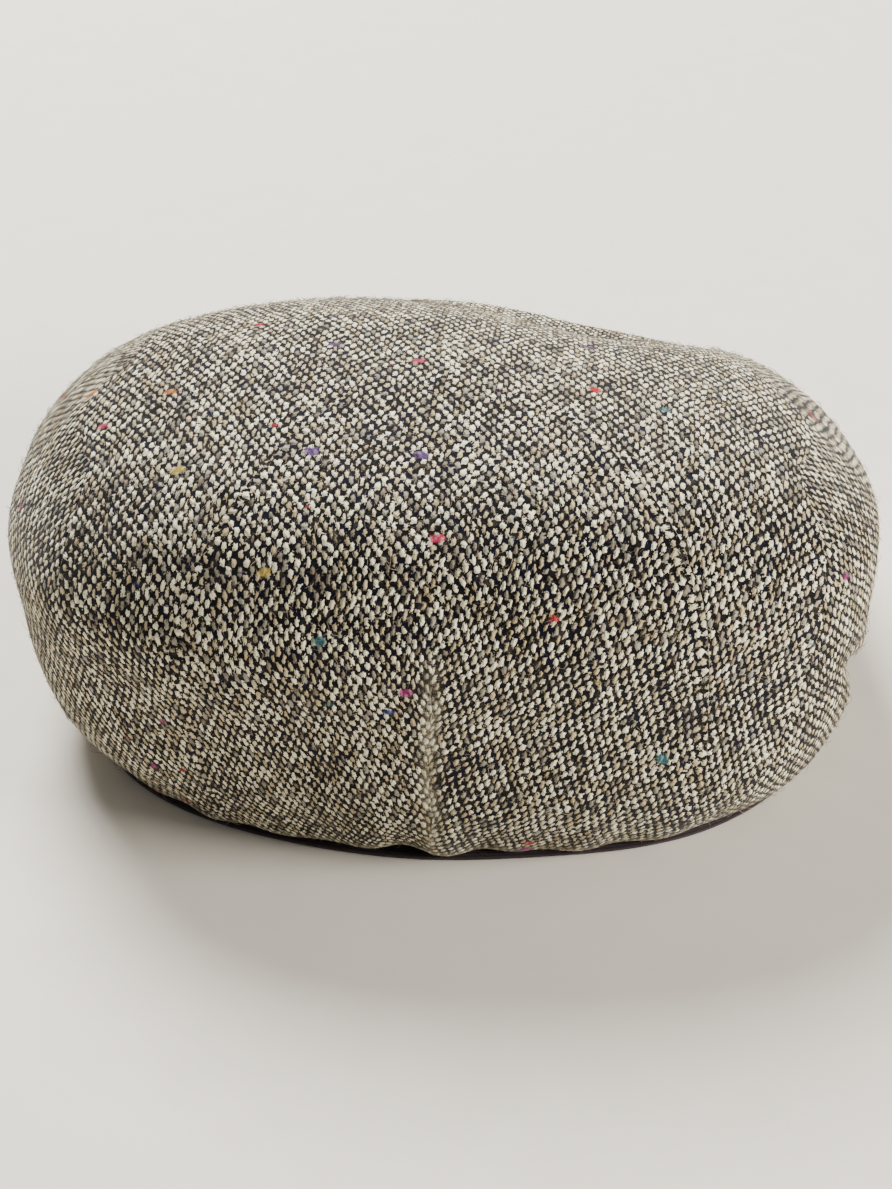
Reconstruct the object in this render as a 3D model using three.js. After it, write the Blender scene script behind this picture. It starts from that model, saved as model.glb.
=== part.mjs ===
// Tweed flat cap lying on its rim: a three-panel crown over a stiff peak, with a sweatband,
// a head-size tape, a back elastic and a satin lining inside.
// Units are millimetres, +Z is up, +Y is the wearer's forward (the peak) and +X is the wearer's right.
// Plan angles are measured about the crown's axis from +X, so 90 degrees is the front.

import * as THREE from "three";

// ---- driving dimensions ----------------------------------------------------------------

const CROWN_AXIS_Y = -44; // the upright line through the crown's widest place
const CROWN_TOP = 111; // highest point of the crown
const BELLY_HEIGHT = 40; // height of the crown's widest line
const RIM_HEIGHT = 1.8; // lower edge of the tweed at the back

// Each plan outline is half of one super-ellipse behind the axis and half of another in front.
const OPENING = { halfWidth: 102, rear: 80, front: 92, rearPower: 2.4, frontPower: 2.0 };
const CROWN_FOOT = { halfWidth: 102, rear: 80, front: 142, rearPower: 2.4, frontPower: 2.1 };
const CROWN_BELLY = { halfWidth: 119, rear: 89, front: 150, rearPower: 2.4, frontPower: 2.1 };
const PEAK_EDGE = { halfWidth: 108, rear: 80, front: 177, rearPower: 2.4, frontPower: 2.15 };

const SHOULDER_POWER_REAR = 3.3; // how square the crown's shoulder is at the back
const SHOULDER_POWER_FRONT = 2.1; // and at the front
const TUCK_POWER = 2.2; // how late the wall turns in towards the rim

const FRONT_SLOPE = 0.47; // fall per millimetre of the crown's front half
const FRONT_SLOPE_START_Y = -22; // where the top begins to fall towards the peak
const FRONT_SLOPE_BLEND = 18; // length over which that fall builds up
const SIDE_FALL = 0.0009; // fall of the top towards the sides, per square millimetre

const TWEED = 2.0; // thickness of the crown cloth
const GAP = 0.3; // air between neighbouring pieces
const LAYER_GAP = 1.2; // air between the crown cloth and what lies against its inside
const SEAM_GAP = 0.45; // air between the crown's panels, square to their seam

const PEAK_START = 9; // plan angle, in degrees, of the peak's right end
const PEAK_FRONT_HEIGHT = 14; // underside of the peak at the middle of its edge
const PEAK_RISE = 0.18; // rise per millimetre from that edge back to the forehead
const PEAK_CAMBER = 0.0032; // fall towards the sides, per square millimetre
const PEAK_UNDER_CLOTH = 1.4;
const PEAK_BOARD = 1.8;
const PEAK_TOP_CLOTH = 1.6;
const PEAK_BOARD_INSET = 2.5; // the cloth wraps this far beyond the board
const PEAK_BOARD_TRIM = 2; // and this many plan degrees beyond it at each end

// Bands inside the opening: insets are inwards from its outline and lifts upwards from its edge.
const SWEATBAND = { height: 30, thickness: 2.0, inset: 3.2, lift: 0 };
const HEAD_TAPE = { height: 10, thickness: 0.6, inset: 2.2, lift: 5 };
const BACK_ELASTIC = { height: 20, thickness: 1.1, inset: 1.8, lift: 5 };
const SIZE_TAB = { height: 16, thickness: 0.5, inset: 5.5, lift: 9 };
const ELASTIC_HALF_SPAN = 22; // plan degrees each side of the centre back
const TAPE_TO_ELASTIC = 2; // plan degrees left free between the head-size tape and the elastic
const SIZE_TAB_SPAN = [282, 290]; // plan degrees, just right of the centre back

// The lining: clearance is under the crown's tweed, tipSize the tip's share of the whole height.
const LINING = { thickness: 0.8, clearance: 3.2, belly: 6, bellyLift: 9, tipSize: 0.8 };
const LINING_FOOT = { outward: 1, overlap: 2, sideStart: 2.4 }; // how it stands over the sweatband
const LABEL = { halfLength: 26, halfDepth: 15, forward: 6, thickness: 0.6, drop: 1.2 };

const SEAM_TAPE = { thickness: 0.5, halfWidth: 5, backStart: 20, backEnd: 90 };
const INTERLINING = { thickness: 0.8, start: 6, reach: 62 };

// ---- colours ---------------------------------------------------------------------------

const CLOTH = {
  tweed: { color: 0x8c8272, roughness: 0.95 },
  sweatband: { color: 0x1d1719, roughness: 0.85 },
  elastic: { color: 0x17161a, roughness: 0.8 },
  tape: { color: 0x2a2726, roughness: 0.9 },
  lining: { color: 0x2b2a30, roughness: 0.4 },
  canvas: { color: 0xc9c0ab, roughness: 0.9 },
  board: { color: 0xd8d4ca, roughness: 0.55 },
  label: { color: 0xbfb7a4, roughness: 0.6 },
};

// ---- small maths -----------------------------------------------------------------------

const radians = (degrees) => (degrees * Math.PI) / 180;
const mix = (a, b, t) => a + (b - a) * t;

function smoothstep(low, high, x) {
  const t = Math.min(1, Math.max(0, (x - low) / (high - low)));
  return t * t * (3 - 2 * t);
}

// Plan radius of an outline in the direction of an angle in degrees.
function planRadius(outline, angle) {
  const c = Math.abs(Math.cos(radians(angle)));
  const s = Math.sin(radians(angle));
  const length = s < 0 ? outline.rear : outline.front;
  const power = s < 0 ? outline.rearPower : outline.frontPower;
  return ((c / outline.halfWidth) ** power + (Math.abs(s) / length) ** power) ** (-1 / power);
}

function planPoint(angle, radius, z) {
  const a = radians(angle);
  return new THREE.Vector3(radius * Math.cos(a), CROWN_AXIS_Y + radius * Math.sin(a), z);
}

// 0 behind the sides of the cap and 1 where the peak is.
const peakShare = (angle) => smoothstep(-0.22, 0.1, Math.sin(radians(angle)));

// ---- the peak's curved sheet -----------------------------------------------------------

const peakFrontY = CROWN_AXIS_Y + PEAK_EDGE.front;

function peakUnderside(x, y) {
  return PEAK_FRONT_HEIGHT + PEAK_RISE * (peakFrontY - y) - PEAK_CAMBER * x * x;
}

const peakTopside = (x, y) =>
  peakUnderside(x, y) + PEAK_UNDER_CLOTH + PEAK_BOARD + PEAK_TOP_CLOTH + 2 * GAP;

// ---- the crown's outer surface ---------------------------------------------------------

function topHeight(x, y) {
  const blend = Math.log(1 + Math.exp((y - FRONT_SLOPE_START_Y) / FRONT_SLOPE_BLEND));
  return CROWN_TOP - FRONT_SLOPE * FRONT_SLOPE_BLEND * blend - SIDE_FALL * x * x;
}

function footHeight(angle) {
  const foot = planPoint(angle, planRadius(CROWN_FOOT, angle), 0);
  return mix(RIM_HEIGHT, peakTopside(foot.x, foot.y) + GAP, peakShare(angle));
}

// Height of the head opening's edge, where the sweatband hangs down to.
function openingHeight(angle) {
  const edge = planPoint(angle, planRadius(OPENING, angle), 0);
  return mix(0, peakUnderside(edge.x, edge.y), peakShare(angle));
}

// One upright profile from the foot up the wall and over to the axis, as points along it.
function profile(angle, shape) {
  const points = [];
  const steps = 48;
  const front = smoothstep(-0.3, 0.9, Math.sin(radians(angle)));
  const power = mix(shape.rearPower, shape.frontPower, front);
  for (let i = 0; i < steps; i++) {
    const drop = 1 - i / steps;
    const radius = shape.belly - (shape.belly - shape.foot) * drop ** TUCK_POWER;
    points.push(planPoint(angle, radius, mix(shape.bellyZ, shape.footZ, drop)));
  }
  for (let i = 0; i <= steps; i++) {
    const turn = (i / steps) * (Math.PI / 2);
    const radius = i === steps ? 0 : shape.belly * Math.cos(turn) ** (2 / power);
    const point = planPoint(angle, radius, 0);
    const rise = Math.sin(turn) ** (2 / power);
    point.z = mix(shape.bellyZ, shape.top(point.x, point.y), rise);
    points.push(point);
  }
  return points;
}

// Reads a profile at a distance along it, measured in millimetres from the foot.
function measured(points) {
  const lengths = [0];
  for (let i = 1; i < points.length; i++) {
    lengths.push(lengths[i - 1] + points[i].distanceTo(points[i - 1]));
  }
  const total = lengths[lengths.length - 1];
  const at = (distance) => {
    const wanted = Math.min(total, Math.max(0, distance));
    const k = Math.max(1, lengths.findIndex((l) => l >= wanted));
    const share = (wanted - lengths[k - 1]) / (lengths[k] - lengths[k - 1]);
    return points[k - 1].clone().lerp(points[k], share);
  };
  return { total, at };
}

const memo = new Map();

function surfaceProfile(surface, angle) {
  const key = `${surface.name}:${angle.toFixed(4)}`;
  if (!memo.has(key)) memo.set(key, measured(profile(angle, surface.shape(angle))));
  return memo.get(key);
}

// A point of a surface, moved in along the surface's own normal.
function surfacePoint(surface, angle, distance, inward) {
  const here = surfaceProfile(surface, angle);
  const point = here.at(distance);
  if (here.total - distance < 0.5) return point.add(new THREE.Vector3(0, 0, -inward));
  const along = here.at(distance + 0.4).sub(here.at(distance - 0.4));
  const share = distance / here.total;
  const next = surfaceProfile(surface, angle + 0.5);
  const last = surfaceProfile(surface, angle - 0.5);
  const around = next.at(share * next.total).sub(last.at(share * last.total));
  return point.addScaledVector(around.cross(along).normalize(), -inward);
}

const crownSurface = {
  name: "crown",
  shape: (angle) => ({
    foot: planRadius(CROWN_FOOT, angle),
    footZ: footHeight(angle),
    belly: planRadius(CROWN_BELLY, angle),
    bellyZ: Math.max(BELLY_HEIGHT, footHeight(angle) + 12),
    top: topHeight,
    rearPower: SHOULDER_POWER_REAR,
    frontPower: SHOULDER_POWER_FRONT,
  }),
};

const liningSurface = {
  name: "lining",
  shape: (angle) => {
    const foot = planRadius(OPENING, angle) - SWEATBAND.inset + LINING_FOOT.outward;
    const footZ = openingHeight(angle) + SWEATBAND.height - LINING_FOOT.overlap;
    return {
      foot,
      footZ,
      belly: foot + mix(LINING.belly, 1, peakShare(angle)),
      bellyZ: footZ + LINING.bellyLift,
      top: (x, y) => topHeight(x, y) - TWEED - LINING.clearance,
      rearPower: SHOULDER_POWER_REAR,
      frontPower: SHOULDER_POWER_REAR,
    };
  },
};

// ---- building closed bodies from grids of points ---------------------------------------

// grid[i][j] holds the outer points and back[i][j] the inner ones; i runs anticlockwise.
// A closed grid joins its last column to its first. A pole closes the top row to one point.
function slab(outer, inner, { closed = false, pole = false } = {}) {
  const positions = [];
  const indices = [];
  const columns = outer.length;
  const rows = outer[0].length;
  const add = (p) => positions.push(p.x, p.y, p.z) / 3 - 1;
  const number = (grid) => {
    const ids = grid.map((column) => column.slice(0, pole ? rows - 1 : rows).map(add));
    if (pole) {
      const tip = add(grid[0][rows - 1]);
      ids.forEach((column) => column.push(tip));
    }
    return ids;
  };
  const front = number(outer);
  const back = number(inner);
  const face = (a, b, c) => {
    if (a !== b && b !== c && c !== a) indices.push(a, b, c);
  };
  const quad = (a, b, c, d) => {
    face(a, b, c);
    face(a, c, d);
  };
  const lastColumn = closed ? columns : columns - 1;
  for (let i = 0; i < lastColumn; i++) {
    const n = (i + 1) % columns;
    for (let j = 0; j < rows - 1; j++) {
      quad(front[i][j], front[n][j], front[n][j + 1], front[i][j + 1]);
      quad(back[i][j], back[i][j + 1], back[n][j + 1], back[n][j]);
    }
    quad(back[i][0], back[n][0], front[n][0], front[i][0]);
    if (!pole) quad(front[i][rows - 1], front[n][rows - 1], back[n][rows - 1], back[i][rows - 1]);
  }
  if (!closed) {
    const e = columns - 1;
    for (let j = 0; j < rows - 1; j++) {
      quad(front[0][j], front[0][j + 1], back[0][j + 1], back[0][j]);
      quad(front[e][j + 1], front[e][j], back[e][j], back[e][j + 1]);
    }
  }
  const geometry = new THREE.BufferGeometry();
  geometry.setAttribute("position", new THREE.Float32BufferAttribute(positions, 3));
  geometry.setIndex(indices);
  geometry.computeVertexNormals();
  return geometry;
}

// A sheet cut from a surface between two edges, each a function of the plan angle.
// A crowding above 1 draws the rows together towards the low edge.
function surfaceSheet(surface, options) {
  const { angles, low, high, rows, depth, thickness, closed, pole, crowding = 1 } = options;
  const columnsAt = (inward) =>
    angles.map((angle) => {
      const start = low(angle);
      const end = high(angle);
      return Array.from({ length: rows + 1 }, (_, j) =>
        surfacePoint(surface, angle, mix(start, end, (j / rows) ** crowding), inward),
      );
    });
  return slab(columnsAt(depth), columnsAt(depth + thickness), { closed, pole });
}

const steps = (from, to, count) =>
  Array.from({ length: count + 1 }, (_, i) => mix(from, to, i / count));

// ---- seams of the crown ----------------------------------------------------------------

// The right side seam leaves the rim at `rear`, climbs to `height` along the wall, runs
// forwards along the shoulder and comes down again to the peak at `front`.
const SIDE_SEAM = { rear: -51, rearRun: 29, front: 62, frontRun: 34, height: 102, least: 3 };

function seamHeight(angle) {
  const climb = smoothstep(SIDE_SEAM.rear, SIDE_SEAM.rear + SIDE_SEAM.rearRun, angle);
  const descent = smoothstep(SIDE_SEAM.front, SIDE_SEAM.front - SIDE_SEAM.frontRun, angle);
  return SIDE_SEAM.least + (SIDE_SEAM.height - SIDE_SEAM.least) * Math.min(climb, descent);
}

// The same angle on the right-hand side of the cap, so that both sides share one seam.
const rightHand = (angle) => {
  const turned = ((angle + 90 + 360) % 360) - 90;
  return turned > 90 ? 180 - turned : turned;
};

const inSideSpan = (angle) => {
  const a = rightHand(angle);
  return a > SIDE_SEAM.rear && a < SIDE_SEAM.front;
};

// The gap along the wall that leaves SEAM_GAP square to a seam as steep as this one.
function seamClearance(angle) {
  const rise = seamHeight(angle + 0.5) - seamHeight(angle - 0.5);
  const run = radians(planRadius(CROWN_BELLY, angle));
  return SEAM_GAP * Math.hypot(1, rise / run);
}

function crownLowEdge(angle) {
  if (!inSideSpan(angle)) return 0;
  const turned = rightHand(angle);
  return seamHeight(turned) + seamClearance(turned);
}

// Plan angles of the right half, closer together where the seam is steep.
function rightSideAngles() {
  const rearEnd = SIDE_SEAM.rear + SIDE_SEAM.rearRun;
  const frontEnd = SIDE_SEAM.front - SIDE_SEAM.frontRun;
  return [
    ...steps(SIDE_SEAM.rear + 0.3, rearEnd, 9),
    ...steps(rearEnd, frontEnd, 8).slice(1),
    ...steps(frontEnd, SIDE_SEAM.front - 0.3, 11).slice(1),
  ];
}

const mirrored = (angles) => angles.map((angle) => 180 - angle).reverse();

const frontAngles = () => steps(SIDE_SEAM.front, 180 - SIDE_SEAM.front, 10);

function crownAngles() {
  const right = rightSideAngles();
  const front = frontAngles();
  const rear = steps(180 - SIDE_SEAM.rear, 360 + SIDE_SEAM.rear, 14);
  return [...right, ...front, ...mirrored(right), ...rear];
}

// ---- the crown -------------------------------------------------------------------------

const crownCentrePanel = () =>
  surfaceSheet(crownSurface, {
    angles: crownAngles(),
    low: crownLowEdge,
    high: (angle) => surfaceProfile(crownSurface, angle).total,
    rows: 15,
    crowding: 1.45,
    depth: 0,
    thickness: TWEED,
    closed: true,
    pole: true,
  });

const crownSidePanel = (angles) =>
  surfaceSheet(crownSurface, {
    angles,
    low: () => 0,
    high: (angle) => seamHeight(rightHand(angle)),
    rows: 7,
    depth: 0,
    thickness: TWEED,
  });

// Fused canvas that keeps the front of the crown smooth above the peak.
const crownFrontInterlining = () =>
  surfaceSheet(crownSurface, {
    angles: frontAngles().slice(1, -1),
    low: () => INTERLINING.start,
    high: () => INTERLINING.reach,
    rows: 5,
    depth: TWEED + LAYER_GAP,
    thickness: INTERLINING.thickness,
  });

// Tape over the seam allowances inside the crown, up the back and along each side.
const centreBackTape = () => {
  const halfSpan = (SEAM_TAPE.halfWidth / CROWN_BELLY.rear) * (180 / Math.PI);
  return surfaceSheet(crownSurface, {
    angles: steps(270 - halfSpan, 270 + halfSpan, 2),
    low: () => SEAM_TAPE.backStart,
    high: () => SEAM_TAPE.backEnd,
    rows: 8,
    depth: TWEED + LAYER_GAP,
    thickness: SEAM_TAPE.thickness,
  });
};

const sideSeamTape = (angles) =>
  surfaceSheet(crownSurface, {
    angles,
    low: (angle) => seamHeight(rightHand(angle)) - SEAM_TAPE.halfWidth,
    high: (angle) => seamHeight(rightHand(angle)) + SEAM_TAPE.halfWidth,
    rows: 2,
    depth: TWEED + LAYER_GAP,
    thickness: SEAM_TAPE.thickness,
  });

const rightTapeAngles = () =>
  steps(SIDE_SEAM.rear + SIDE_SEAM.rearRun - 4, SIDE_SEAM.front - SIDE_SEAM.frontRun + 2, 10);

// ---- the peak --------------------------------------------------------------------------

// A curved plate between the head opening and the peak's edge, `lift` above the underside.
function peakPlate(lift, thickness, inset) {
  const trim = inset > 0 ? PEAK_BOARD_TRIM : 0;
  const angles = steps(PEAK_START + trim, 180 - PEAK_START - trim, 34);
  const rows = 5;
  const sheetAt = (height) =>
    angles.map((angle) => {
      const inner = planRadius(OPENING, angle) + GAP + inset;
      const outer = Math.max(planRadius(PEAK_EDGE, angle) - inset, inner + 1);
      return Array.from({ length: rows + 1 }, (_, j) => {
        const point = planPoint(angle, mix(outer, inner, j / rows), 0);
        point.z = peakUnderside(point.x, point.y) + height;
        return point;
      });
    });
  return slab(sheetAt(lift + thickness), sheetAt(lift));
}

const peakUnderCover = () => peakPlate(0, PEAK_UNDER_CLOTH, 0);
const peakBoard = () => peakPlate(PEAK_UNDER_CLOTH + GAP, PEAK_BOARD, PEAK_BOARD_INSET);
const peakTopCover = () =>
  peakPlate(PEAK_UNDER_CLOTH + PEAK_BOARD + 2 * GAP, PEAK_TOP_CLOTH, 0);

// ---- bands inside the head opening -----------------------------------------------------

// An upright ribbon that follows the opening, `inset` inside it.
function ribbon({ angles, inset, thickness, lift, height, closed }) {
  const wallAt = (depth) =>
    angles.map((angle) => {
      const radius = planRadius(OPENING, angle) - depth;
      const base = openingHeight(angle) + lift;
      return [planPoint(angle, radius, base), planPoint(angle, radius, base + height)];
    });
  return slab(wallAt(inset), wallAt(inset + thickness), { closed });
}

const sweatband = () =>
  ribbon({ ...SWEATBAND, angles: steps(0, 360, 72).slice(0, -1), closed: true });

const headSizeTape = () => {
  const start = ELASTIC_HALF_SPAN + TAPE_TO_ELASTIC;
  return ribbon({ ...HEAD_TAPE, angles: steps(-90 + start, 270 - start, 60) });
};

const sweatbandBackElastic = () =>
  ribbon({ ...BACK_ELASTIC, angles: steps(270 - ELASTIC_HALF_SPAN, 270 + ELASTIC_HALF_SPAN, 12) });

// A blank size tab, folded out from under the sweatband's top edge at the back.
const sizeTab = () => ribbon({ ...SIZE_TAB, angles: steps(...SIZE_TAB_SPAN, 3) });

// ---- the lining ------------------------------------------------------------------------

const liningTipEdge = (angle) =>
  surfaceProfile(liningSurface, angle).total * (1 - LINING.tipSize);

const liningTip = () =>
  surfaceSheet(liningSurface, {
    angles: steps(0, 360, 44).slice(0, -1),
    low: liningTipEdge,
    high: (angle) => surfaceProfile(liningSurface, angle).total,
    rows: 8,
    depth: 0,
    thickness: LINING.thickness,
    closed: true,
    pole: true,
  });

const liningSide = (from, to) =>
  surfaceSheet(liningSurface, {
    angles: steps(from + 0.15, to - 0.15, 22),
    low: () => LINING_FOOT.sideStart,
    high: (angle) => liningTipEdge(angle) - GAP,
    rows: 3,
    depth: 0,
    thickness: LINING.thickness,
  });

// A blank woven label under the middle of the lining's tip.
function liningLabel() {
  const { halfLength, halfDepth, forward, thickness, drop } = LABEL;
  const middleY = CROWN_AXIS_Y + forward;
  const under = (x, y) => topHeight(x, y) - TWEED - LINING.clearance - LINING.thickness - drop;
  const sheetAt = (depth) =>
    steps(-halfLength, halfLength, 6).map((x) =>
      steps(middleY - halfDepth, middleY + halfDepth, 2).map(
        (y) => new THREE.Vector3(x, y, under(x, y) - depth),
      ),
    );
  return slab(sheetAt(0), sheetAt(thickness));
}

// ---- assembly --------------------------------------------------------------------------

const cap = new THREE.Group();
cap.name = "tweed_flat_cap";

function place(name, geometry, cloth) {
  const { color, roughness } = CLOTH[cloth];
  const material = new THREE.MeshStandardMaterial({ color, roughness, metalness: 0 });
  const mesh = new THREE.Mesh(geometry, material);
  mesh.name = name;
  cap.add(mesh);
}

const rightSide = rightSideAngles();
const rightTape = rightTapeAngles();

place("crown_centre_panel", crownCentrePanel(), "tweed");
place("crown_side_panel_right", crownSidePanel(rightSide), "tweed");
place("crown_side_panel_left", crownSidePanel(mirrored(rightSide)), "tweed");
place("crown_front_interlining", crownFrontInterlining(), "canvas");
place("crown_back_seam_tape", centreBackTape(), "tape");
place("crown_side_seam_tape_right", sideSeamTape(rightTape), "tape");
place("crown_side_seam_tape_left", sideSeamTape(mirrored(rightTape)), "tape");
place("peak_top_cover", peakTopCover(), "tweed");
place("peak_board", peakBoard(), "board");
place("peak_under_cover", peakUnderCover(), "tweed");
place("head_size_tape", headSizeTape(), "tape");
place("sweatband", sweatband(), "sweatband");
place("sweatband_back_elastic", sweatbandBackElastic(), "elastic");
place("size_tab_blank", sizeTab(), "label");
place("lining_tip", liningTip(), "lining");
place("lining_side_right", liningSide(-90, 90), "lining");
place("lining_side_left", liningSide(90, 270), "lining");
place("lining_label_blank", liningLabel(), "label");

export default cap;
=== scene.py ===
"""Looks for the tweed flat cap: shaped cloth panels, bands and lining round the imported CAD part."""

import math

import bpy
import numpy as np
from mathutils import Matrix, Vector


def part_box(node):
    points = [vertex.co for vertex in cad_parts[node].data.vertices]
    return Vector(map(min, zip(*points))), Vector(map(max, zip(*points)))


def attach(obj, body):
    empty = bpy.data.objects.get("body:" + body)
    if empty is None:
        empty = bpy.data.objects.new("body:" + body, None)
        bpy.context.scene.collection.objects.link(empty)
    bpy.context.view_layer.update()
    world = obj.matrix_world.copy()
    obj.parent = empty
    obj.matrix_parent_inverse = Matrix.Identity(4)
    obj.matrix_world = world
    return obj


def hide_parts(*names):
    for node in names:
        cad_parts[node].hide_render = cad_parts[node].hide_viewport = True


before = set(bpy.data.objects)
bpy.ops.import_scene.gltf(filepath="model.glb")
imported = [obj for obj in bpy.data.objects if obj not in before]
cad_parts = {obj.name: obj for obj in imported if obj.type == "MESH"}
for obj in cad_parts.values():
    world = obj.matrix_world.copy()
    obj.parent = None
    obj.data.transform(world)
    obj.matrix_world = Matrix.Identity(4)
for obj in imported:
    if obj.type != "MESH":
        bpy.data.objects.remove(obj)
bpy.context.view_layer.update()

MM = 0.001  # the row frame is in metres; lengths below are in millimetres

# ---- driving dimensions ------------------------------------------------------------------


def node_box(name):
    """Lowest and highest corner of a CAD node, in millimetres."""
    low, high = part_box(name)
    return np.array(low) / MM, np.array(high) / MM


_, side_high = node_box("crown_side_panel_right")
centre_low, centre_high = node_box("crown_centre_panel")
band_low, band_high = node_box("sweatband")
_, peak_high = node_box("peak_top_cover")

AXIS_Y = -44.0  # the upright line through the crown's widest place
BELLY_HEIGHT = 40.0  # height of the crown's widest line
LEAST_WALL = 12.0  # least height from the crown's foot to that line
TWEED = 2.0  # thickness of the crown cloth
LAYER_AIR = 0.3  # air between neighbouring layers
BAND_INSET, BAND_THICKNESS, BAND_HEIGHT = 3.2, 2.0, 30.0  # of the sweatband
UNDER_CLOTH, PEAK_BOARD, TOP_CLOTH = 1.4, 1.8, 1.6  # thicknesses of the peak's layers
PEAK_THICKNESS = UNDER_CLOTH + PEAK_BOARD + TOP_CLOTH + 2 * LAYER_AIR
FACET_LOSS = 1.0  # how far the CAD panel's flat facets stay under the crown's true top
FRONT_OVERHANG = 8.0  # how far the crown reaches out over its foot at the front

crown_top = centre_high[2] + FACET_LOSS
rim_height = centre_low[2]
opening_half_width = band_high[0] + BAND_INSET
opening_rear = AXIS_Y - band_low[1] + BAND_INSET
opening_front = band_high[1] - AXIS_Y + BAND_INSET
crown_front = centre_high[1] - AXIS_Y

# Plan outlines: half width, lengths behind and in front of the axis, and the power of each half.
OPENING = (opening_half_width, opening_rear, opening_front, 2.4, 2.0)
CROWN_FOOT = (opening_half_width, opening_rear, crown_front - FRONT_OVERHANG, 2.4, 2.1)
CROWN_BELLY = (side_high[0], AXIS_Y - centre_low[1], crown_front, 2.4, 2.1)
PEAK_EDGE = (108.0, 80.0, peak_high[1] - AXIS_Y, 2.4, 2.15)

SHOULDER_REAR, SHOULDER_FRONT = 3.3, 2.1  # how square the crown's shoulder is
TUCK_POWER = 2.2  # how late the wall turns in towards the rim
FRONT_SLOPE, FRONT_SLOPE_START, FRONT_SLOPE_BLEND = 0.47, -22.0, 18.0
SIDE_FALL = 0.0009  # fall of the top towards the sides, per square millimetre
PEAK_START = 9.0  # plan angle of the peak's right end
PEAK_FRONT_HEIGHT, PEAK_RISE, PEAK_CAMBER = 14.0, 0.18, 0.0032

SEED = 58
END_SPACING, PICK_SPACING = 1.38, 1.76  # warp and weft pitch of the tweed

# ---- small maths -------------------------------------------------------------------------


def mix(a, b, t):
    return a + (b - a) * t


def smoothstep(low, high, x):
    t = np.clip((x - low) / (high - low), 0.0, 1.0)
    return t * t * (3 - 2 * t)


def bump(x, centre, width):
    """A smooth hill of height 1 at the centre."""
    return np.exp(-(((x - centre) / width) ** 2))


def value_noise(points, scale, seed):
    """Smooth noise from -1 to 1 at an (n, 3) array of points, with features about `scale` long."""
    grid = np.random.default_rng(seed).uniform(-1, 1, (32, 32, 32))
    q = points / scale
    base = np.floor(q).astype(int)
    f = q - base
    f = f * f * (3 - 2 * f)
    total = np.zeros(len(points))
    for dx in (0, 1):
        for dy in (0, 1):
            for dz in (0, 1):
                weight = np.abs(1 - dx - f[:, 0]) * np.abs(1 - dy - f[:, 1]) * np.abs(1 - dz - f[:, 2])
                corner = (base + (dx, dy, dz)) % 32
                total += weight * grid[corner[:, 0], corner[:, 1], corner[:, 2]]
    return total


def unit(vectors):
    return vectors / np.maximum(np.linalg.norm(vectors, axis=-1, keepdims=True), 1e-9)


# ---- the cap's outlines and surfaces -----------------------------------------------------


def plan_radius(outline, angle):
    """Radius of an outline, half one super-ellipse and half another, at plan angles in degrees."""
    half_width, rear, front, rear_power, front_power = outline
    c = np.abs(np.cos(np.radians(angle)))
    s = np.sin(np.radians(angle))
    length = np.where(s < 0, rear, front)
    power = np.where(s < 0, rear_power, front_power)
    return ((c / half_width) ** power + (np.abs(s) / length) ** power) ** (-1 / power)


def plan_xy(angle, radius):
    a = np.radians(angle)
    return radius * np.cos(a), AXIS_Y + radius * np.sin(a)


def peak_share(angle):
    """0 behind the sides of the cap and 1 where the peak is."""
    return smoothstep(-0.22, 0.1, np.sin(np.radians(angle)))


def peak_underside(x, y):
    return PEAK_FRONT_HEIGHT + PEAK_RISE * (peak_high[1] - y) - PEAK_CAMBER * x * x


def opening_height(angle):
    x, y = plan_xy(angle, plan_radius(OPENING, angle))
    return mix(0.0, peak_underside(x, y), peak_share(angle))


def foot_height(angle):
    x, y = plan_xy(angle, plan_radius(CROWN_FOOT, angle))
    return mix(rim_height, peak_underside(x, y) + PEAK_THICKNESS + LAYER_AIR, peak_share(angle))


def top_height(x, y):
    blend = np.log1p(np.exp((y - FRONT_SLOPE_START) / FRONT_SLOPE_BLEND))
    return crown_top - FRONT_SLOPE * FRONT_SLOPE_BLEND * blend - SIDE_FALL * x * x


PROFILE_STEPS = 90


def profiles(angles, shape):
    """Upright profiles from the foot to the axis, as an (angles, points, 3) array."""
    foot, foot_z, belly, belly_z, top, rear_power, front_power = shape(angles)
    front = smoothstep(-0.3, 0.9, np.sin(np.radians(angles)))
    power = mix(rear_power, front_power, front)[:, None]
    drop = 1 - np.arange(PROFILE_STEPS) / PROFILE_STEPS
    wall_r = belly[:, None] - (belly - foot)[:, None] * drop**TUCK_POWER
    wall_z = mix(belly_z[:, None], foot_z[:, None], drop)
    turn = np.linspace(0, math.pi / 2, PROFILE_STEPS + 1)
    over_r = belly[:, None] * np.maximum(np.cos(turn), 0) ** (2 / power)
    over_r[:, -1] = 0
    x, y = plan_xy(angles[:, None], over_r)
    over_z = mix(belly_z[:, None], top(x, y), np.sin(turn) ** (2 / power))
    radius = np.concatenate([wall_r, over_r], axis=1)
    height = np.concatenate([wall_z, over_z], axis=1)
    x, y = plan_xy(angles[:, None], radius)
    return np.stack([x, y, height], axis=-1)


def crown_shape(angles):
    foot_z = foot_height(angles)
    return (
        plan_radius(CROWN_FOOT, angles),
        foot_z,
        plan_radius(CROWN_BELLY, angles),
        np.maximum(BELLY_HEIGHT, foot_z + LEAST_WALL),
        top_height,
        SHOULDER_REAR,
        SHOULDER_FRONT,
    )


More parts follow.
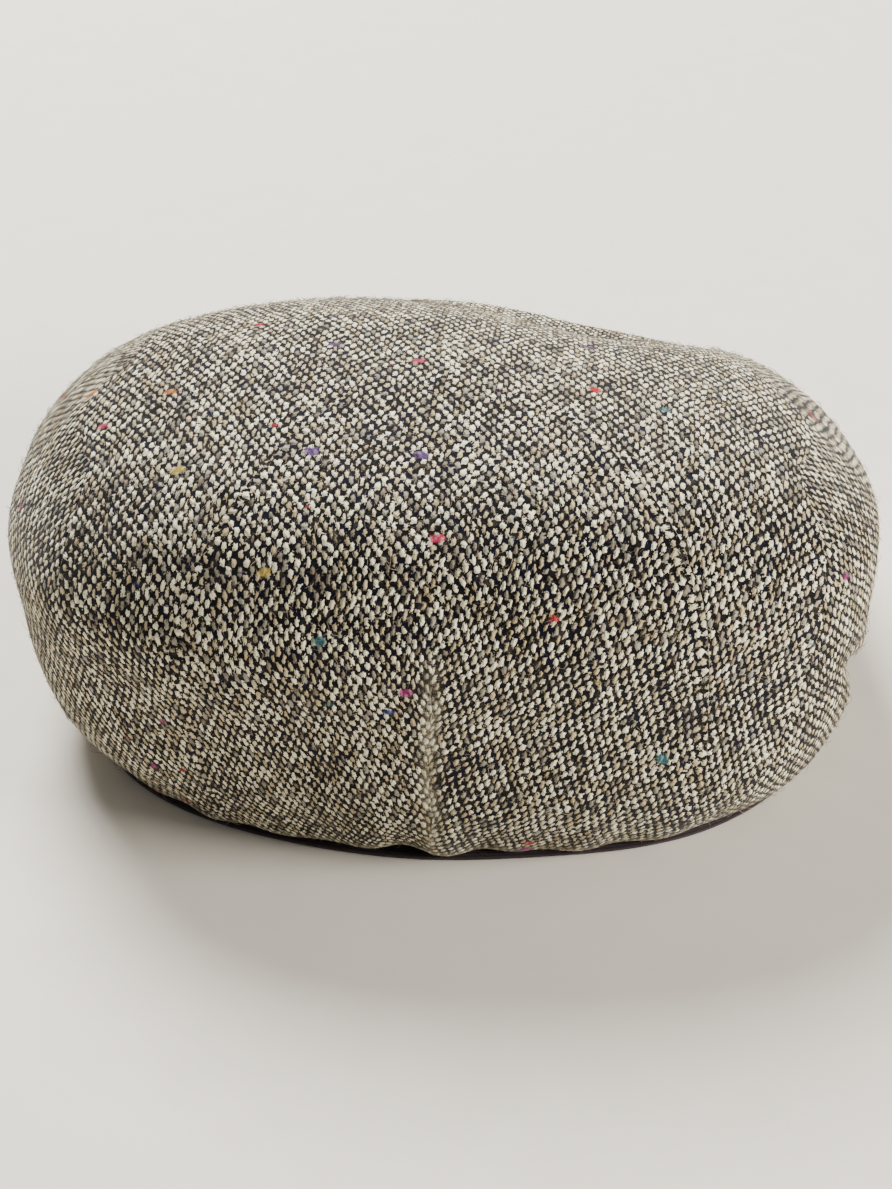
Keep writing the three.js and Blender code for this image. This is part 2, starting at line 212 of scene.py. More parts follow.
class Surface:
    """A surface measured by plan angle and by distance up it from its foot, in millimetres."""

    def __init__(self, shape):
        self.shape = shape

    def lengths(self, angles):
        points = profiles(angles, self.shape)
        step = np.linalg.norm(np.diff(points, axis=1), axis=-1)
        return points, np.concatenate([np.zeros((len(angles), 1)), np.cumsum(step, axis=1)], axis=1)

    def total(self, angles):
        return self.lengths(np.asarray(angles, float))[1][:, -1]

    def points(self, angles, distance):
        """Points at each angle, for an (angles, rows) array of distances."""
        along, length = self.lengths(angles)
        out = np.empty(distance.shape + (3,))
        for i in range(len(angles)):
            for k in range(3):
                out[i, :, k] = np.interp(distance[i], length[i], along[i, :, k])
        return out

    def normals(self, angles, distance):
        total = self.total(angles)[:, None]
        share = distance / total
        near, tip_reach = 0.7, 1.0
        ahead = self.points(angles, np.minimum(distance + near, total))
        behind = self.points(angles, np.maximum(distance - near, 0))
        left = self.points(angles + near, share * self.total(angles + near)[:, None])
        right = self.points(angles - near, share * self.total(angles - near)[:, None])
        normal = unit(np.cross(left - right, ahead - behind))
        normal[total - distance < tip_reach] = (0, 0, 1)
        return normal


crown = Surface(crown_shape)


# ---- how the crown has settled -----------------------------------------------------------

# Soft hills and hollows of the top: plan x, plan y, radius along x, radius along y, rise.
SETTLED_TOP = [
    (-55.0, -14.0, 42.0, 46.0, 3.0),
    (-92.0, -20.0, 32.0, 50.0, 4.0),
    (44.0, 56.0, 30.0, 76.0, -15.0),
    (8.0, 54.0, 36.0, 50.0, -3.5),
    (100.0, -6.0, 28.0, 60.0, 1.5),
    (6.0, -96.0, 34.0, 22.0, -1.6),
]

# Where the wall leans out or in: plan angle, height, reach in degrees and in height, push.
SETTLED_SIDES = [
    (184.0, 34.0, 30.0, 34.0, -3.2),
    (-135.0, 69.0, 30.0, 13.0, 2.2),
    (-132.0, 36.0, 34.0, 18.0, -2.4),
    (14.0, 66.0, 18.0, 26.0, -5.5),
    (-14.0, 36.0, 14.0, 26.0, -4.2),
    (-44.0, 6.0, 22.0, 30.0, 4.4),
    (-128.0, 6.0, 26.0, 28.0, -2.8),
    (-88.0, 4.0, 16.0, 24.0, 1.2),
    (-24.0, 3.0, 12.0, 12.0, 2.6),
]
SIDES_OF_TOP = (20.0, 62.0)  # heights between which the top's hills and hollows fade in
SEAM_SHIFT, SEAM_WANDER = -3.8, 0.7  # how far the back seam has slipped sideways, and how unevenly
SEAM_SHIFT_REACH = 34.0  # degrees each side of the back that slip with it
RUMPLES = [(46.0, 1.1), (17.0, 0.45)]  # spacing and height of the slight rumples everywhere

# Creases: middle x, y, z, direction x, y, z, half length, half width, depth.
CREASES = [
    (0.0, -128.0, 84.0, 1.0, 0.0, -0.35, 16.0, 4.0, 3.2),
    (52.0, -118.0, 88.0, 1.0, 0.25, -0.2, 12.0, 3.4, 2.2),
    (-86.0, -100.0, 60.0, 1.0, -0.8, -0.3, 26.0, 5.0, 1.5),
    (111.0, -76.0, 25.0, 0.2, 0.78, -0.62, 26.0, 5.0, 6.0),
]


def crease_depth(points, spec):
    centre, direction = np.array(spec[:3]), unit(np.array(spec[3:6]))
    half_length, half_width, depth = spec[6:]
    offset = points - centre
    along = offset @ direction
    across = np.linalg.norm(offset - along[..., None] * direction, axis=-1)
    valley = np.exp(-((across / half_width) ** 2)) - 0.35 * np.exp(-((across / (2.4 * half_width)) ** 2))
    return depth * valley * np.exp(-((along / half_length) ** 2))


SEAM_APEX = 70.0  # how far up the wall the centre-back seam runs
BACK_SINE = -0.8  # sine of the plan angle below which a place is at the back


def seam_dent(points, angles, distance):
    """Depth of the groove along the centre-back seam, with the cloth raised beside it."""
    from_seam = np.abs(points[..., 0])
    behind = (np.sin(np.radians(angles)) < BACK_SINE)[:, None]
    fade = smoothstep(SEAM_APEX, SEAM_APEX - 30, distance)
    groove = 0.2 * np.exp(-((from_seam / 2.4) ** 2)) - 0.3 * np.exp(-((from_seam / 8.0) ** 2))
    return np.where(behind, groove * fade, 0.0)


def settled_lift(points):
    """How far the top has risen or sunk at each point."""
    x, y, z = points[..., 0], points[..., 1], points[..., 2]
    lift = sum(h * bump(x, cx, rx) * bump(y, cy, ry) for cx, cy, rx, ry, h in SETTLED_TOP)
    return lift * smoothstep(*SIDES_OF_TOP, z)


def settled_sides(points, angles):
    """The same points with the wall's lean and the slip of the back seam put in."""
    a = np.radians(angles)[:, None]
    push = np.zeros(points.shape[:2])
    for angle, height, angle_reach, height_reach, most in SETTLED_SIDES:
        turn = (angles - angle + 180.0) % 360.0 - 180.0
        push += most * bump(turn, 0.0, angle_reach)[:, None] * bump(points[..., 2], height, height_reach)
    points[..., :2] += np.stack([np.cos(a), np.sin(a)], axis=-1) * push[..., None]
    behind = bump((angles + 270.0) % 360.0 - 180.0, 0.0, SEAM_SHIFT_REACH)[:, None]
    wander = SEAM_WANDER * value_noise(points.reshape(-1, 3) * (0.2, 0.2, 1.0), 7.0, SEED + 9)
    slip = SEAM_SHIFT + wander.reshape(push.shape)
    points[..., 0] += slip * behind * smoothstep(110.0, 60.0, points[..., 2])
    return points


def settle(points, normals, angles, distance):
    """The crown's shape as it lies: settled top, creases, gathers at the rim and a slight rumple."""
    flat = points.reshape(-1, 3)
    rumple = sum(high * value_noise(flat, gap, SEED + i) for i, (gap, high) in enumerate(RUMPLES))
    push = rumple.reshape(distance.shape)
    for spec in CREASES:
        push = push - crease_depth(points, spec)
    push = push - seam_dent(points, angles, distance)
    off_foot = smoothstep(0.0, 16.0, distance)
    moved = points + normals * (push * off_foot)[..., None]
    moved[..., 2] += settled_lift(moved)
    return rim_gathers(settled_sides(moved, angles), angles, distance)


RIM_REACH = 22.0  # how far up the wall the hem's gathers run
RIM_LIFT, RIM_WAVE = 1.17, 0.45  # how far the gathered hem stands up, and its waves
HEM_STEP_PLACE, HEM_STEP_WIDTH, HEM_STEP = -11.0, 6.0, 2.4  # the kick beside the back seam


def rim_gathers(points, angles, distance):
    """Ripples of the hem at the back, where the elastic draws it in."""
    a = np.radians(angles)[:, None]
    back = smoothstep(0.3, 0.9, -np.sin(a))
    near_rim = smoothstep(RIM_REACH, 0.0, distance)
    ripple = 0.7 * np.sin(27 * a + 1.4 * np.sin(5 * a)) + 0.5 * np.sin(11 * a + 0.8)
    outward = np.stack([np.cos(a), np.sin(a)], axis=-1)
    points[..., :2] += outward * (ripple * back * near_rim)[..., None]
    kick = HEM_STEP * bump(points[..., 0], HEM_STEP_PLACE, HEM_STEP_WIDTH) * (np.sin(a) < BACK_SINE)
    points[..., 2] += near_rim * (back * (RIM_LIFT + RIM_WAVE * np.sin(17 * a)) + kick)
    return points


# ---- how the tweed was cut ---------------------------------------------------------------

WEAVE_TURN = 6.0  # degrees that the weave leans on the top
CUT_COLUMN_STEP, CUT_ROW_STEP = 4, 5  # how much coarser the flattened panel is than the crown's grid
CUT_PASSES = 1500
DART_WIDTH = 48.0  # cloth taken out of the centre back at the rim, running out at the seam's top
POLE_BLEND = (14.0, 48.0)  # distances from the pole over which the eased lay takes over
SIDE_LEAN = 7.0  # degrees that the side panels' warp leans towards the back
SIDE_CUT_AT = 400.0  # the side panels come from another part of the cloth
SEAM_WORN, SEAM_WORN_WIDTH = 0.45, 2.0  # how rubbed the cloth is along the back seam
RIM_WORN, RIM_WORN_REACH = 0.7, 4.0  # and along the rim


def belly_arc(angles):
    """Signed length along the crown's widest line from the centre back, anticlockwise positive."""
    fine = np.linspace(-90.0, 270.0, 1441)
    x, y = plan_xy(fine, plan_radius(CROWN_BELLY, fine))
    length = np.concatenate([[0.0], np.cumsum(np.hypot(np.diff(x), np.diff(y)))])
    arc = np.interp(angles, fine, length)
    return np.where(angles > 90.0, arc - length[-1], arc)


def relax_edges(flat, start, finish, wanted, push, weight, stiffness):
    """Adds to push what brings the edges from start to finish nearer the lengths wanted."""
    along = flat[finish] - flat[start]
    length = np.maximum(np.linalg.norm(along, axis=-1, keepdims=True), 1e-6)
    move = 0.5 * stiffness * (1 - wanted / length) * along
    push[start] += move
    push[finish] -= move
    weight[start] += stiffness
    weight[finish] += stiffness


def flattened(shape, flat, closed_from):
    """Eases a curved panel flat, so that each part of the cloth keeps its lengths as well as it can.

    Columns run round the crown from one side of the back seam to the other, which is sewn up to
    the row closed_from; above it the cloth is whole, and the last row is one point.
    """
    every, first, last = slice(None), slice(None, -1), slice(1, None)
    families = [
        ((first, every), (last, every), 1.0),
        ((every, first), (every, last), 1.0),
        ((first, first), (last, last), 0.35),
        ((first, last), (last, first), 0.35),
    ]
    lengths = [np.linalg.norm(shape[b] - shape[a], axis=-1, keepdims=True) for a, b, _ in families]
    for _ in range(CUT_PASSES):
        push, weight = np.zeros_like(flat), np.zeros(flat.shape[:2] + (1,))
        for (start, finish, stiffness), wanted in zip(families, lengths):
            relax_edges(flat, start, finish, wanted, push, weight, stiffness)
        flat = flat + push / weight
        gap = flat[0, :closed_from] - flat[-1, :closed_from]
        width = np.linalg.norm(gap, axis=-1, keepdims=True)
        wanted_width = DART_WIDTH * (1 - np.arange(closed_from) / closed_from)[:, None]
        take_up = 0.5 * gap * (1 - wanted_width / np.maximum(width, 1e-6))
        flat[0, :closed_from] -= take_up
        flat[-1, :closed_from] += take_up
        joined = (flat[0, closed_from:] + flat[-1, closed_from:]) / 2
        flat[0, closed_from:] = joined
        flat[-1, closed_from:] = joined
        flat[:, -1] = flat[:, -1].mean(axis=0)
    return flat


def stretched_to(coarse, columns, rows):
    """Reads a coarse grid at a finer grid's places."""
    at_rows = np.linspace(0, coarse.shape[1] - 1, rows)
    at_columns = np.linspace(0, coarse.shape[0] - 1, columns)
    own_rows, own_columns = np.arange(coarse.shape[1]), np.arange(coarse.shape[0])
    part = np.stack(
        [[np.interp(at_rows, own_rows, line[:, k]) for line in coarse] for k in range(2)], axis=-1
    )
    whole = [[np.interp(at_columns, own_columns, part[:, j, k]) for j in range(rows)] for k in range(2)]
    return np.array(whole).transpose(2, 1, 0)


def turned_like(start, flat):
    """The start map turned to lie as the eased one does near the pole, in the rings next to it."""
    as_complex = np.array([1, -1j])
    lay = (flat @ as_complex / (start @ as_complex + 1e-9))[:, -8:-3].mean()
    turn = np.array([[lay.real, lay.imag], [-lay.imag, lay.real]]) / abs(lay)
    return start @ turn.T


def centre_panel_cut(angles, distance):
    """Where each point of the centre panel lay in the flat cloth: across and along the warp."""
    few_angles = angles[::CUT_COLUMN_STEP]
    few_distance = distance[::CUT_COLUMN_STEP, ::CUT_ROW_STEP]
    shape = crown.points(few_angles, few_distance)
    from_pole = crown.total(few_angles)[:, None] - few_distance
    turn = np.radians(few_angles)[:, None]
    start = np.stack([from_pole * np.cos(turn), from_pole * np.sin(turn)], axis=-1)
    closed_from = int(np.searchsorted(few_distance[0], SEAM_APEX))
    flat = flattened(shape, start, closed_from)
    flat = flat - flat[0, -1]
    flat = mix(turned_like(start, flat), flat, smoothstep(*POLE_BLEND, from_pole)[..., None])
    c, s = math.cos(math.radians(WEAVE_TURN)), math.sin(math.radians(WEAVE_TURN))
    return stretched_to(flat @ np.array([[c, s], [-s, c]]), len(angles), distance.shape[1])


def rim_wear(distance):
    return RIM_WORN * smoothstep(RIM_WORN_REACH, 0.0, distance)


def centre_panel_fabric(angles, distance):
    """The place of each point in the flat cloth, and how worn the cloth is there."""
    from_seam = crown.points(angles, distance)[..., 0]
    behind = (np.sin(np.radians(angles)) < BACK_SINE)[:, None]
    at_seam = SEAM_WORN * bump(from_seam, 0.0, SEAM_WORN_WIDTH) * behind
    at_seam = at_seam * smoothstep(SEAM_APEX + 6.0, SEAM_APEX - 14.0, distance)
    return np.dstack([centre_panel_cut(angles, distance), np.maximum(at_seam, rim_wear(distance))])


def side_panel_fabric(angles, distance):
    arc = belly_arc(angles)[:, None] * np.ones_like(distance)
    lean = math.radians(SIDE_LEAN)
    across = SIDE_CUT_AT + arc * math.cos(lean) + distance * math.sin(lean)
    along = SIDE_CUT_AT + distance * math.cos(lean) - arc * math.sin(lean)
    return np.stack([across, along, rim_wear(distance)], axis=-1)


# ---- building closed cloth bodies from grids of points -----------------------------------


def rounded_rows(outer, inner, fabric, at_start):
    """Adds rows that round the cloth's edge at the start or end of the grids' second axis."""
    if not at_start:
        flipped = [g[:, ::-1] for g in (outer, inner, fabric)]
        return [g[:, ::-1] for g in rounded_rows(*flipped, True)]
    middle = (outer[:, 0] + inner[:, 0]) / 2
    half = np.linalg.norm(outer[:, 0] - inner[:, 0], axis=-1, keepdims=True) / 2
    away = unit(outer[:, 0] - outer[:, 1])
    lift = unit(outer[:, 0] - inner[:, 0])
    run = np.linalg.norm(outer[:, 0] - outer[:, 1], axis=-1, keepdims=True)
    onward = (fabric[:, 0, :2] - fabric[:, 1, :2]) / np.maximum(run, 0.05)
    rows_out, rows_in, rows_fabric = [], [], []
    for degrees in (90, 60, 30):
        turn = math.radians(degrees)
        c, s = math.cos(turn), math.sin(turn)
        rows_out.append(middle + half * (s * away + c * lift))
        rows_in.append(middle + half * (s * away - c * lift))
        place = fabric[:, 0].copy()
        place[:, :2] += onward * half * turn
        rows_fabric.append(place)
    outer = np.concatenate([np.stack(rows_out, axis=1), outer], axis=1)
    inner = np.concatenate([np.stack(rows_in, axis=1), inner], axis=1)
    return outer, inner, np.concatenate([np.stack(rows_fabric, axis=1), fabric], axis=1)


def rounded_columns(outer, inner, fabric):
    """Rounds the first and last columns in the same way."""
    grids = [g.swapaxes(0, 1) for g in (outer, inner, fabric)]
    grids = rounded_rows(*grids, True)
    grids = rounded_rows(*grids, False)
    return [g.swapaxes(0, 1) for g in grids]


def grid_quads(columns, rows, first, flip):
    index = first + np.arange(columns * rows).reshape(columns, rows)
    corners = [index[:-1, :-1], index[1:, :-1], index[1:, 1:], index[:-1, 1:]]
    if flip:
        corners = corners[::-1]
    return np.stack([c.ravel() for c in corners], axis=-1)


def linked_mesh(name, points, faces):
    """A mesh object in the scene, from points in millimetres."""
    mesh = bpy.data.meshes.new(name)
    mesh.from_pydata((points * MM).tolist(), [], faces)
    made = bpy.data.objects.new(name, mesh)
    bpy.context.scene.collection.objects.link(made)
    return made


def welded_mesh(name, points, quads, fabric):
    """A mesh whose coincident points are joined; fabric is kept for each corner of each face."""
    keys = np.round(points, 3)
    _, first, same = np.unique(keys, axis=0, return_index=True, return_inverse=True)
    same = same.ravel()
    faces, corner_fabric = [], []
    for quad in quads:
        ids = same[quad]
        kept = [k for k in range(4) if ids[k] != ids[k - 1]]
        if len(kept) > 2:
            faces.append(tuple(int(ids[k]) for k in kept))
            corner_fabric.extend(fabric[quad[k]] for k in kept)
    made = linked_mesh(name, points[first], faces)
    layer = made.data.attributes.new("fabric", "FLOAT_VECTOR", "CORNER")
    flat = np.zeros((len(corner_fabric), 3), np.float32)
    flat[:, : fabric.shape[-1]] = corner_fabric
    layer.data.foreach_set("vector", flat.ravel())
    made.data.polygons.foreach_set("use_smooth", np.ones(len(faces), bool))
    return made


def cloth_body(name, outer, inner, fabric, wrap=False, tip=False):
    """A closed sheet between two grids of points, rounded along every free edge."""
    outer, inner, fabric = rounded_rows(outer, inner, fabric, True)
    if not tip:
        outer, inner, fabric = rounded_rows(outer, inner, fabric, False)
    if not wrap:
        outer, inner, fabric = rounded_columns(outer, inner, fabric)
    columns, rows = outer.shape[:2]
    quads = np.concatenate(
        [
            grid_quads(columns, rows, 0, False),
            grid_quads(columns, rows, columns * rows, True),
        ]
    )
    points = np.concatenate([outer.reshape(-1, 3), inner.reshape(-1, 3)])
    both = np.tile(fabric.reshape(-1, fabric.shape[-1]), (2, 1))
    return welded_mesh(name, points, quads, both)


def finish_piece(piece, material, slot, *nodes):
    piece.data.materials.append(material)
    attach(piece, "root")
    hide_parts(*nodes)


# ---- materials ---------------------------------------------------------------------------


class Graph:
    """A material's node tree, with short calls for the nodes used here."""

    def __init__(self, name, roughness=0.9, sheen=0.0, specular=0.3):
        self.material = bpy.data.materials.new(name)
        self.material.use_nodes = True
        self.tree = self.material.node_tree
        self.shader = self.tree.nodes["Principled BSDF"]
        self.shader.inputs["Roughness"].default_value = roughness
        self.shader.inputs["Sheen Weight"].default_value = sheen
        self.shader.inputs["Sheen Roughness"].default_value = 0.5
        self.shader.inputs["Specular IOR Level"].default_value = specular

    def fill(self, socket, value):
        if isinstance(value, bpy.types.NodeSocket):
            self.tree.links.new(value, socket)
        else:
            socket.default_value = value

    def node(self, kind, output=0, inputs=(), **settings):
        made = self.tree.nodes.new(kind)
        for key, value in settings.items():
            setattr(made, key, value)
        for key, value in dict(inputs).items():
            self.fill(made.inputs[key], value)
        return made.outputs[output]

    def math(self, operation, a, b=0.0, c=0.0):
        return self.node("ShaderNodeMath", 0, {0: a, 1: b, 2: c}, operation=operation)

    def add(self, a, b):
        return self.math("ADD", a, b)

    def times(self, a, b):
        return self.math("MULTIPLY", a, b)

    def ramp(self, value, low, high, to_low=0.0, to_high=1.0):
        inputs = {0: value, 1: low, 2: high, 3: to_low, 4: to_high}
        return self.node("ShaderNodeMapRange", 0, inputs, interpolation_type="SMOOTHSTEP")

    def noise(self, vector, scale, detail=2.0, output=0):
        inputs = {"Vector": vector, "Scale": scale, "Detail": detail}
        return self.node("ShaderNodeTexNoise", output, inputs)

    def mix(self, share, a, b):
        made = self.tree.nodes.new("ShaderNodeMix")
        made.data_type = "RGBA"
        for socket, value in ((made.inputs[0], share), (made.inputs[6], a), (made.inputs[7], b)):
            self.fill(socket, value)
        return made.outputs[2]

    def mix_value(self, share, a, b):
        return self.add(self.times(a, self.math("SUBTRACT", 1.0, share)), self.times(b, share))

    def combine(self, x, y, z=0.0):
        return self.node("ShaderNodeCombineXYZ", 0, {0: x, 1: y, 2: z})

    def split(self, vector):
        made = self.tree.nodes.new("ShaderNodeSeparateXYZ")
        self.tree.links.new(vector, made.inputs[0])
        return made.outputs

    def colour(self, value):
        self.fill(self.shader.inputs["Base Color"], value)

    def relief(self, height, depth_mm, strength=1.0):
        inputs = {"Height": height, "Distance": depth_mm * MM, "Strength": strength}
        self.tree.links.new(self.node("ShaderNodeBump", 0, inputs), self.shader.inputs["Normal"])


def rgb(red, green, blue):
    """A colour given as it looks on screen, from 0 to 255, turned into linear light."""
    return tuple(((v / 255 + 0.055) / 1.055) ** 2.4 for v in (red, green, blue)) + (1.0,)


NEP_COLOURS = [
    rgb(176, 44, 46),
    rgb(150, 40, 110),
    rgb(196, 170, 84),
    rgb(58, 112, 120),
    rgb(190, 62, 92),
    rgb(44, 62, 128),
    rgb(190, 120, 60),
    rgb(96, 66, 120),
]
NEP_SPACING = 8.0
NEP_SHARE = 0.65  # of the places where a nep could be
YARN_DRIFT, YARN_JITTER = 2.4, 0.9  # how far the yarns wander, over long and short lengths
FLOAT_HALF_WIDTH, FLOAT_HALF_LENGTH = 0.31, 0.225  # of a pitch, before chance adds to them
FLOAT_POWER = 2.5  # how square a float is: 2 would be an ellipse
FLOAT_EDGE = (1.14, 0.84)  # where a float has ended and where it is whole
GREY_YARN_SHARE = 0.16
TWEED_RELIEF = 0.6


def tweed_places(g, cloth):
    """Places across and along the warp; the yarns wander, so the lattice is never quite square."""
    drift = g.split(g.noise(cloth, 0.07, 1.0, output=1))
    jitter = g.split(g.noise(cloth, 0.55, 1.0, output=1))
    across, along, worn = g.split(cloth)

    def wandered(place, k):
        long_way = g.times(g.add(drift[k], -0.5), YARN_DRIFT)
        short_way = g.times(g.add(jitter[k], -0.5), YARN_JITTER)
        return g.add(place, g.add(long_way, short_way))

    return wandered(across, 0), wandered(along, 1), worn


def white_noise(g, vector):
    """A random value and three random numbers for each whole-number place."""
    noise = g.tree.nodes.new("ShaderNodeTexWhiteNoise")
    noise.noise_dimensions = "3D"
    g.fill(noise.inputs["Vector"], vector)
    return noise.outputs["Value"], g.split(noise.outputs["Color"])


def tweed_floats(g, cloth, u, v):
    """Plain weave: warp floats, staggered from one end to the next.

    Returns how far each place is from its float's middle, in float sizes, with the float's own
    random value and the number of its yarn.
    """
    ends = g.math("DIVIDE", u, END_SPACING)
    end = g.math("FLOOR", ends)
    end_x = g.add(g.math("FRACT", ends), -0.5)
    odd = g.math("FLOORED_MODULO", end, 2.0)
    picks = g.times(g.add(g.math("DIVIDE", v, PICK_SPACING), odd), 0.5)
    pick = g.math("FLOOR", picks)
    pick_y = g.add(g.math("FRACT", picks), -0.5)
    luck, chance = white_noise(g, g.combine(end, pick, 0.5))

    slub = g.noise(g.combine(g.times(end, 3.7), g.times(v, 0.11)), 1.0, 2.0)
    fullness = g.ramp(g.noise(cloth, 0.045, 3.0), 0.3, 0.7, -0.035, 0.03)
    swell = g.add(g.times(chance[0], 0.14), g.ramp(slub, 0.45, 0.8, 0.0, 0.16))
    half_x = g.add(g.add(FLOAT_HALF_WIDTH, swell), fullness)
    half_y = g.add(g.add(FLOAT_HALF_LENGTH, g.times(fullness, 0.6)), g.times(chance[1], 0.11))
    lean = g.add(g.times(g.add(chance[2], -0.5), 0.6), 0.12)
    off_x = g.times(g.add(g.math("FRACT", g.times(luck, 7.0)), -0.5), 0.14)
    off_y = g.times(g.add(g.math("FRACT", g.times(luck, 13.0)), -0.5), 0.12)
    x = g.math("DIVIDE", g.add(g.add(end_x, off_x), g.times(pick_y, lean)), half_x)
    y = g.math("DIVIDE", g.add(pick_y, off_y), half_y)
    x = g.math("POWER", g.math("ABSOLUTE", x), FLOAT_POWER)
    y = g.math("POWER", g.math("ABSOLUTE", y), FLOAT_POWER)
    return g.math("POWER", g.add(x, y), 1 / FLOAT_POWER), luck, end


def tweed_cover(g, cloth, reach, fibre, worn):
    """1 on a float and 0 on the weft between, with a ragged woolly edge."""
    clump = g.noise(cloth, 0.8, 2.0)
    ragged = g.add(reach, g.times(g.add(fibre, -0.5), 3.0))
    ragged = g.add(ragged, g.times(g.add(clump, -0.5), 1.6))
    crisp = g.ramp(ragged, *FLOAT_EDGE)
    return g.mix_value(g.times(worn, 0.75), crisp, g.ramp(fibre, 0.4, 0.6))


def tweed_cream(g, luck, end, fibre):
    """The warp's colour: cream, a little different in each yarn and float, with a few grey ones."""
    yarn = g.node("ShaderNodeTexWhiteNoise", 0, {"W": end}, noise_dimensions="1D")
    shade = g.add(g.times(luck, 0.75), g.add(g.times(yarn, 0.2), g.times(fibre, 0.5)))
    cream = g.mix(g.ramp(shade, 0.3, 1.0), rgb(190, 172, 134), rgb(255, 247, 214))
    grey = g.math("GREATER_THAN", g.math("FRACT", g.times(luck, 31.0)), 1 - GREY_YARN_SHARE)
    return g.mix(g.times(grey, 0.7), cream, rgb(84, 78, 78))


def tweed_dark(g, cloth, u, v):
    """The weft's colour: near black, going to navy in patches."""
    depth = g.noise(g.combine(g.times(u, 0.9), g.times(v, 2.6)), 1.0, 3.0)
    dark = g.mix(g.ramp(depth, 0.42, 0.8), rgb(2, 2, 5), rgb(38, 35, 38))
    blue = g.ramp(g.noise(cloth, 0.22, 3.0), 0.42, 0.66, 0.0, 0.75)
    return g.mix(blue, dark, rgb(8, 11, 32))


def tweed_neps(g, u, v, fibre):
    """Knots of dyed wool caught in the yarn: how much of one shows, and its colour."""
    field = g.tree.nodes.new("ShaderNodeTexVoronoi")
    field.inputs["Scale"].default_value = 1 / NEP_SPACING
    g.fill(field.inputs["Vector"], g.combine(g.times(u, 0.62), v, 0.0))
    picked = g.split(field.outputs["Color"])
    ragged = g.times(g.add(fibre, -0.5), 1.8)
    spread = g.add(g.times(field.outputs["Distance"], NEP_SPACING), ragged)
    size = g.add(0.15, g.times(g.times(picked[2], picked[2]), 0.95))
    present = g.math("GREATER_THAN", picked[1], 1 - NEP_SHARE)
    hue = g.tree.nodes.new("ShaderNodeValToRGB")
    hue.color_ramp.interpolation = "CONSTANT"
    for i, nep_colour in enumerate(NEP_COLOURS):
        place = i / len(NEP_COLOURS)
        stop = hue.color_ramp.elements[i] if i < 2 else hue.color_ramp.elements.new(place)
        stop.position = place
        stop.color = nep_colour
    g.fill(hue.inputs[0], picked[0])
    return g.times(g.ramp(g.math("SUBTRACT", spread, size), 0.35, -0.1), present), hue.outputs[0]


def tweed_material():
    g = Graph("tweed_weave", roughness=0.95, sheen=0.12, specular=0.05)
    cloth = g.node("ShaderNodeAttribute", 1, attribute_name="fabric")
    u, v, worn = tweed_places(g, cloth)
    reach, luck, end = tweed_floats(g, cloth, u, v)
    fibre = g.noise(g.combine(g.times(u, 2.6), g.times(v, 1.6)), 1.0, 5.0)
    cover = tweed_cover(g, cloth, reach, fibre, worn)
    colour = g.mix(cover, tweed_dark(g, cloth, u, v), tweed_cream(g, luck, end, fibre))

    nep, hue = tweed_neps(g, u, v, fibre)
    caught = g.times(nep, g.add(0.5, g.times(g.add(luck, cover), 0.25)))
    colour = g.mix(caught, colour, hue)

    # Loose wool greys the surface unevenly.
    haze = g.ramp(g.noise(cloth, 0.35, 4.0), 0.5, 0.85, 0.0, 0.16)
    haze = g.math("MAXIMUM", haze, g.ramp(worn, 0.35, 0.9, 0.0, 0.35))
    g.colour(g.mix(haze, colour, rgb(160, 146, 120)))

    dome = g.ramp(reach, 1.3, 0.0)
    height = g.add(g.times(dome, 0.8), g.add(g.times(fibre, 0.35), g.times(nep, 0.4)))
    g.relief(height, TWEED_RELIEF, 1.0)
    return g.material


def satin_material():
    g = Graph("lining_satin", roughness=0.34, sheen=0.1, specular=0.5)
    place = g.node("ShaderNodeTexCoord", 3)
    threads = g.node("ShaderNodeMapping", 0, {"Vector": place, "Scale": (2600, 300, 2600)})
    thread = g.noise(threads, 1.0, 2.0)
    cloud = g.noise(place, 45.0, 3.0)
    base = g.mix(g.ramp(cloud, 0.3, 0.7), rgb(30, 30, 38), rgb(48, 47, 58))
    g.colour(g.mix(g.times(thread, 0.35), base, rgb(80, 78, 92)))
    g.fill(g.shader.inputs["Roughness"], g.ramp(thread, 0.2, 0.8, 0.28, 0.48))
    g.relief(thread, 0.05, 0.4)
    return g.material


def ribbed_material(name, dark, light, rib_mm):
    """Grosgrain: fine ribs across a band, read from the band's own flat coordinates. Its colour is
    partly painted shade, darker in the grooves between the ribs and threads, and partly a random fleck.
    """
    g = Graph(name, roughness=0.82, sheen=0.15, specular=0.25)
    cloth = g.node("ShaderNodeAttribute", 1, attribute_name="fabric")
    along, up, _ = g.split(cloth)
    wander = g.times(g.noise(cloth, 0.4, 2.0), 0.5)
    rib = g.math("SINE", g.times(g.add(up, wander), 2 * math.pi / rib_mm))
    thread = g.math("SINE", g.times(g.add(along, wander), 2 * math.pi / (0.6 * rib_mm)))
    fleck = g.noise(cloth, 2.5, 3.0)
    height = g.add(g.times(rib, 0.5), g.add(g.times(thread, 0.2), g.times(fleck, 0.3)))
    # painted shade: the colour follows the ribs' height, so the grooves are darker; the fleck part is
    # random tone
    tone = g.add(g.times(g.ramp(height, -0.6, 0.8), 0.7), g.times(fleck, 0.3))
    g.colour(g.mix(tone, dark, light))
    g.fill(g.shader.inputs["Roughness"], g.ramp(fleck, 0.3, 0.7, 0.72, 0.9))
    g.relief(height, 0.16, 0.8)
    return g.material


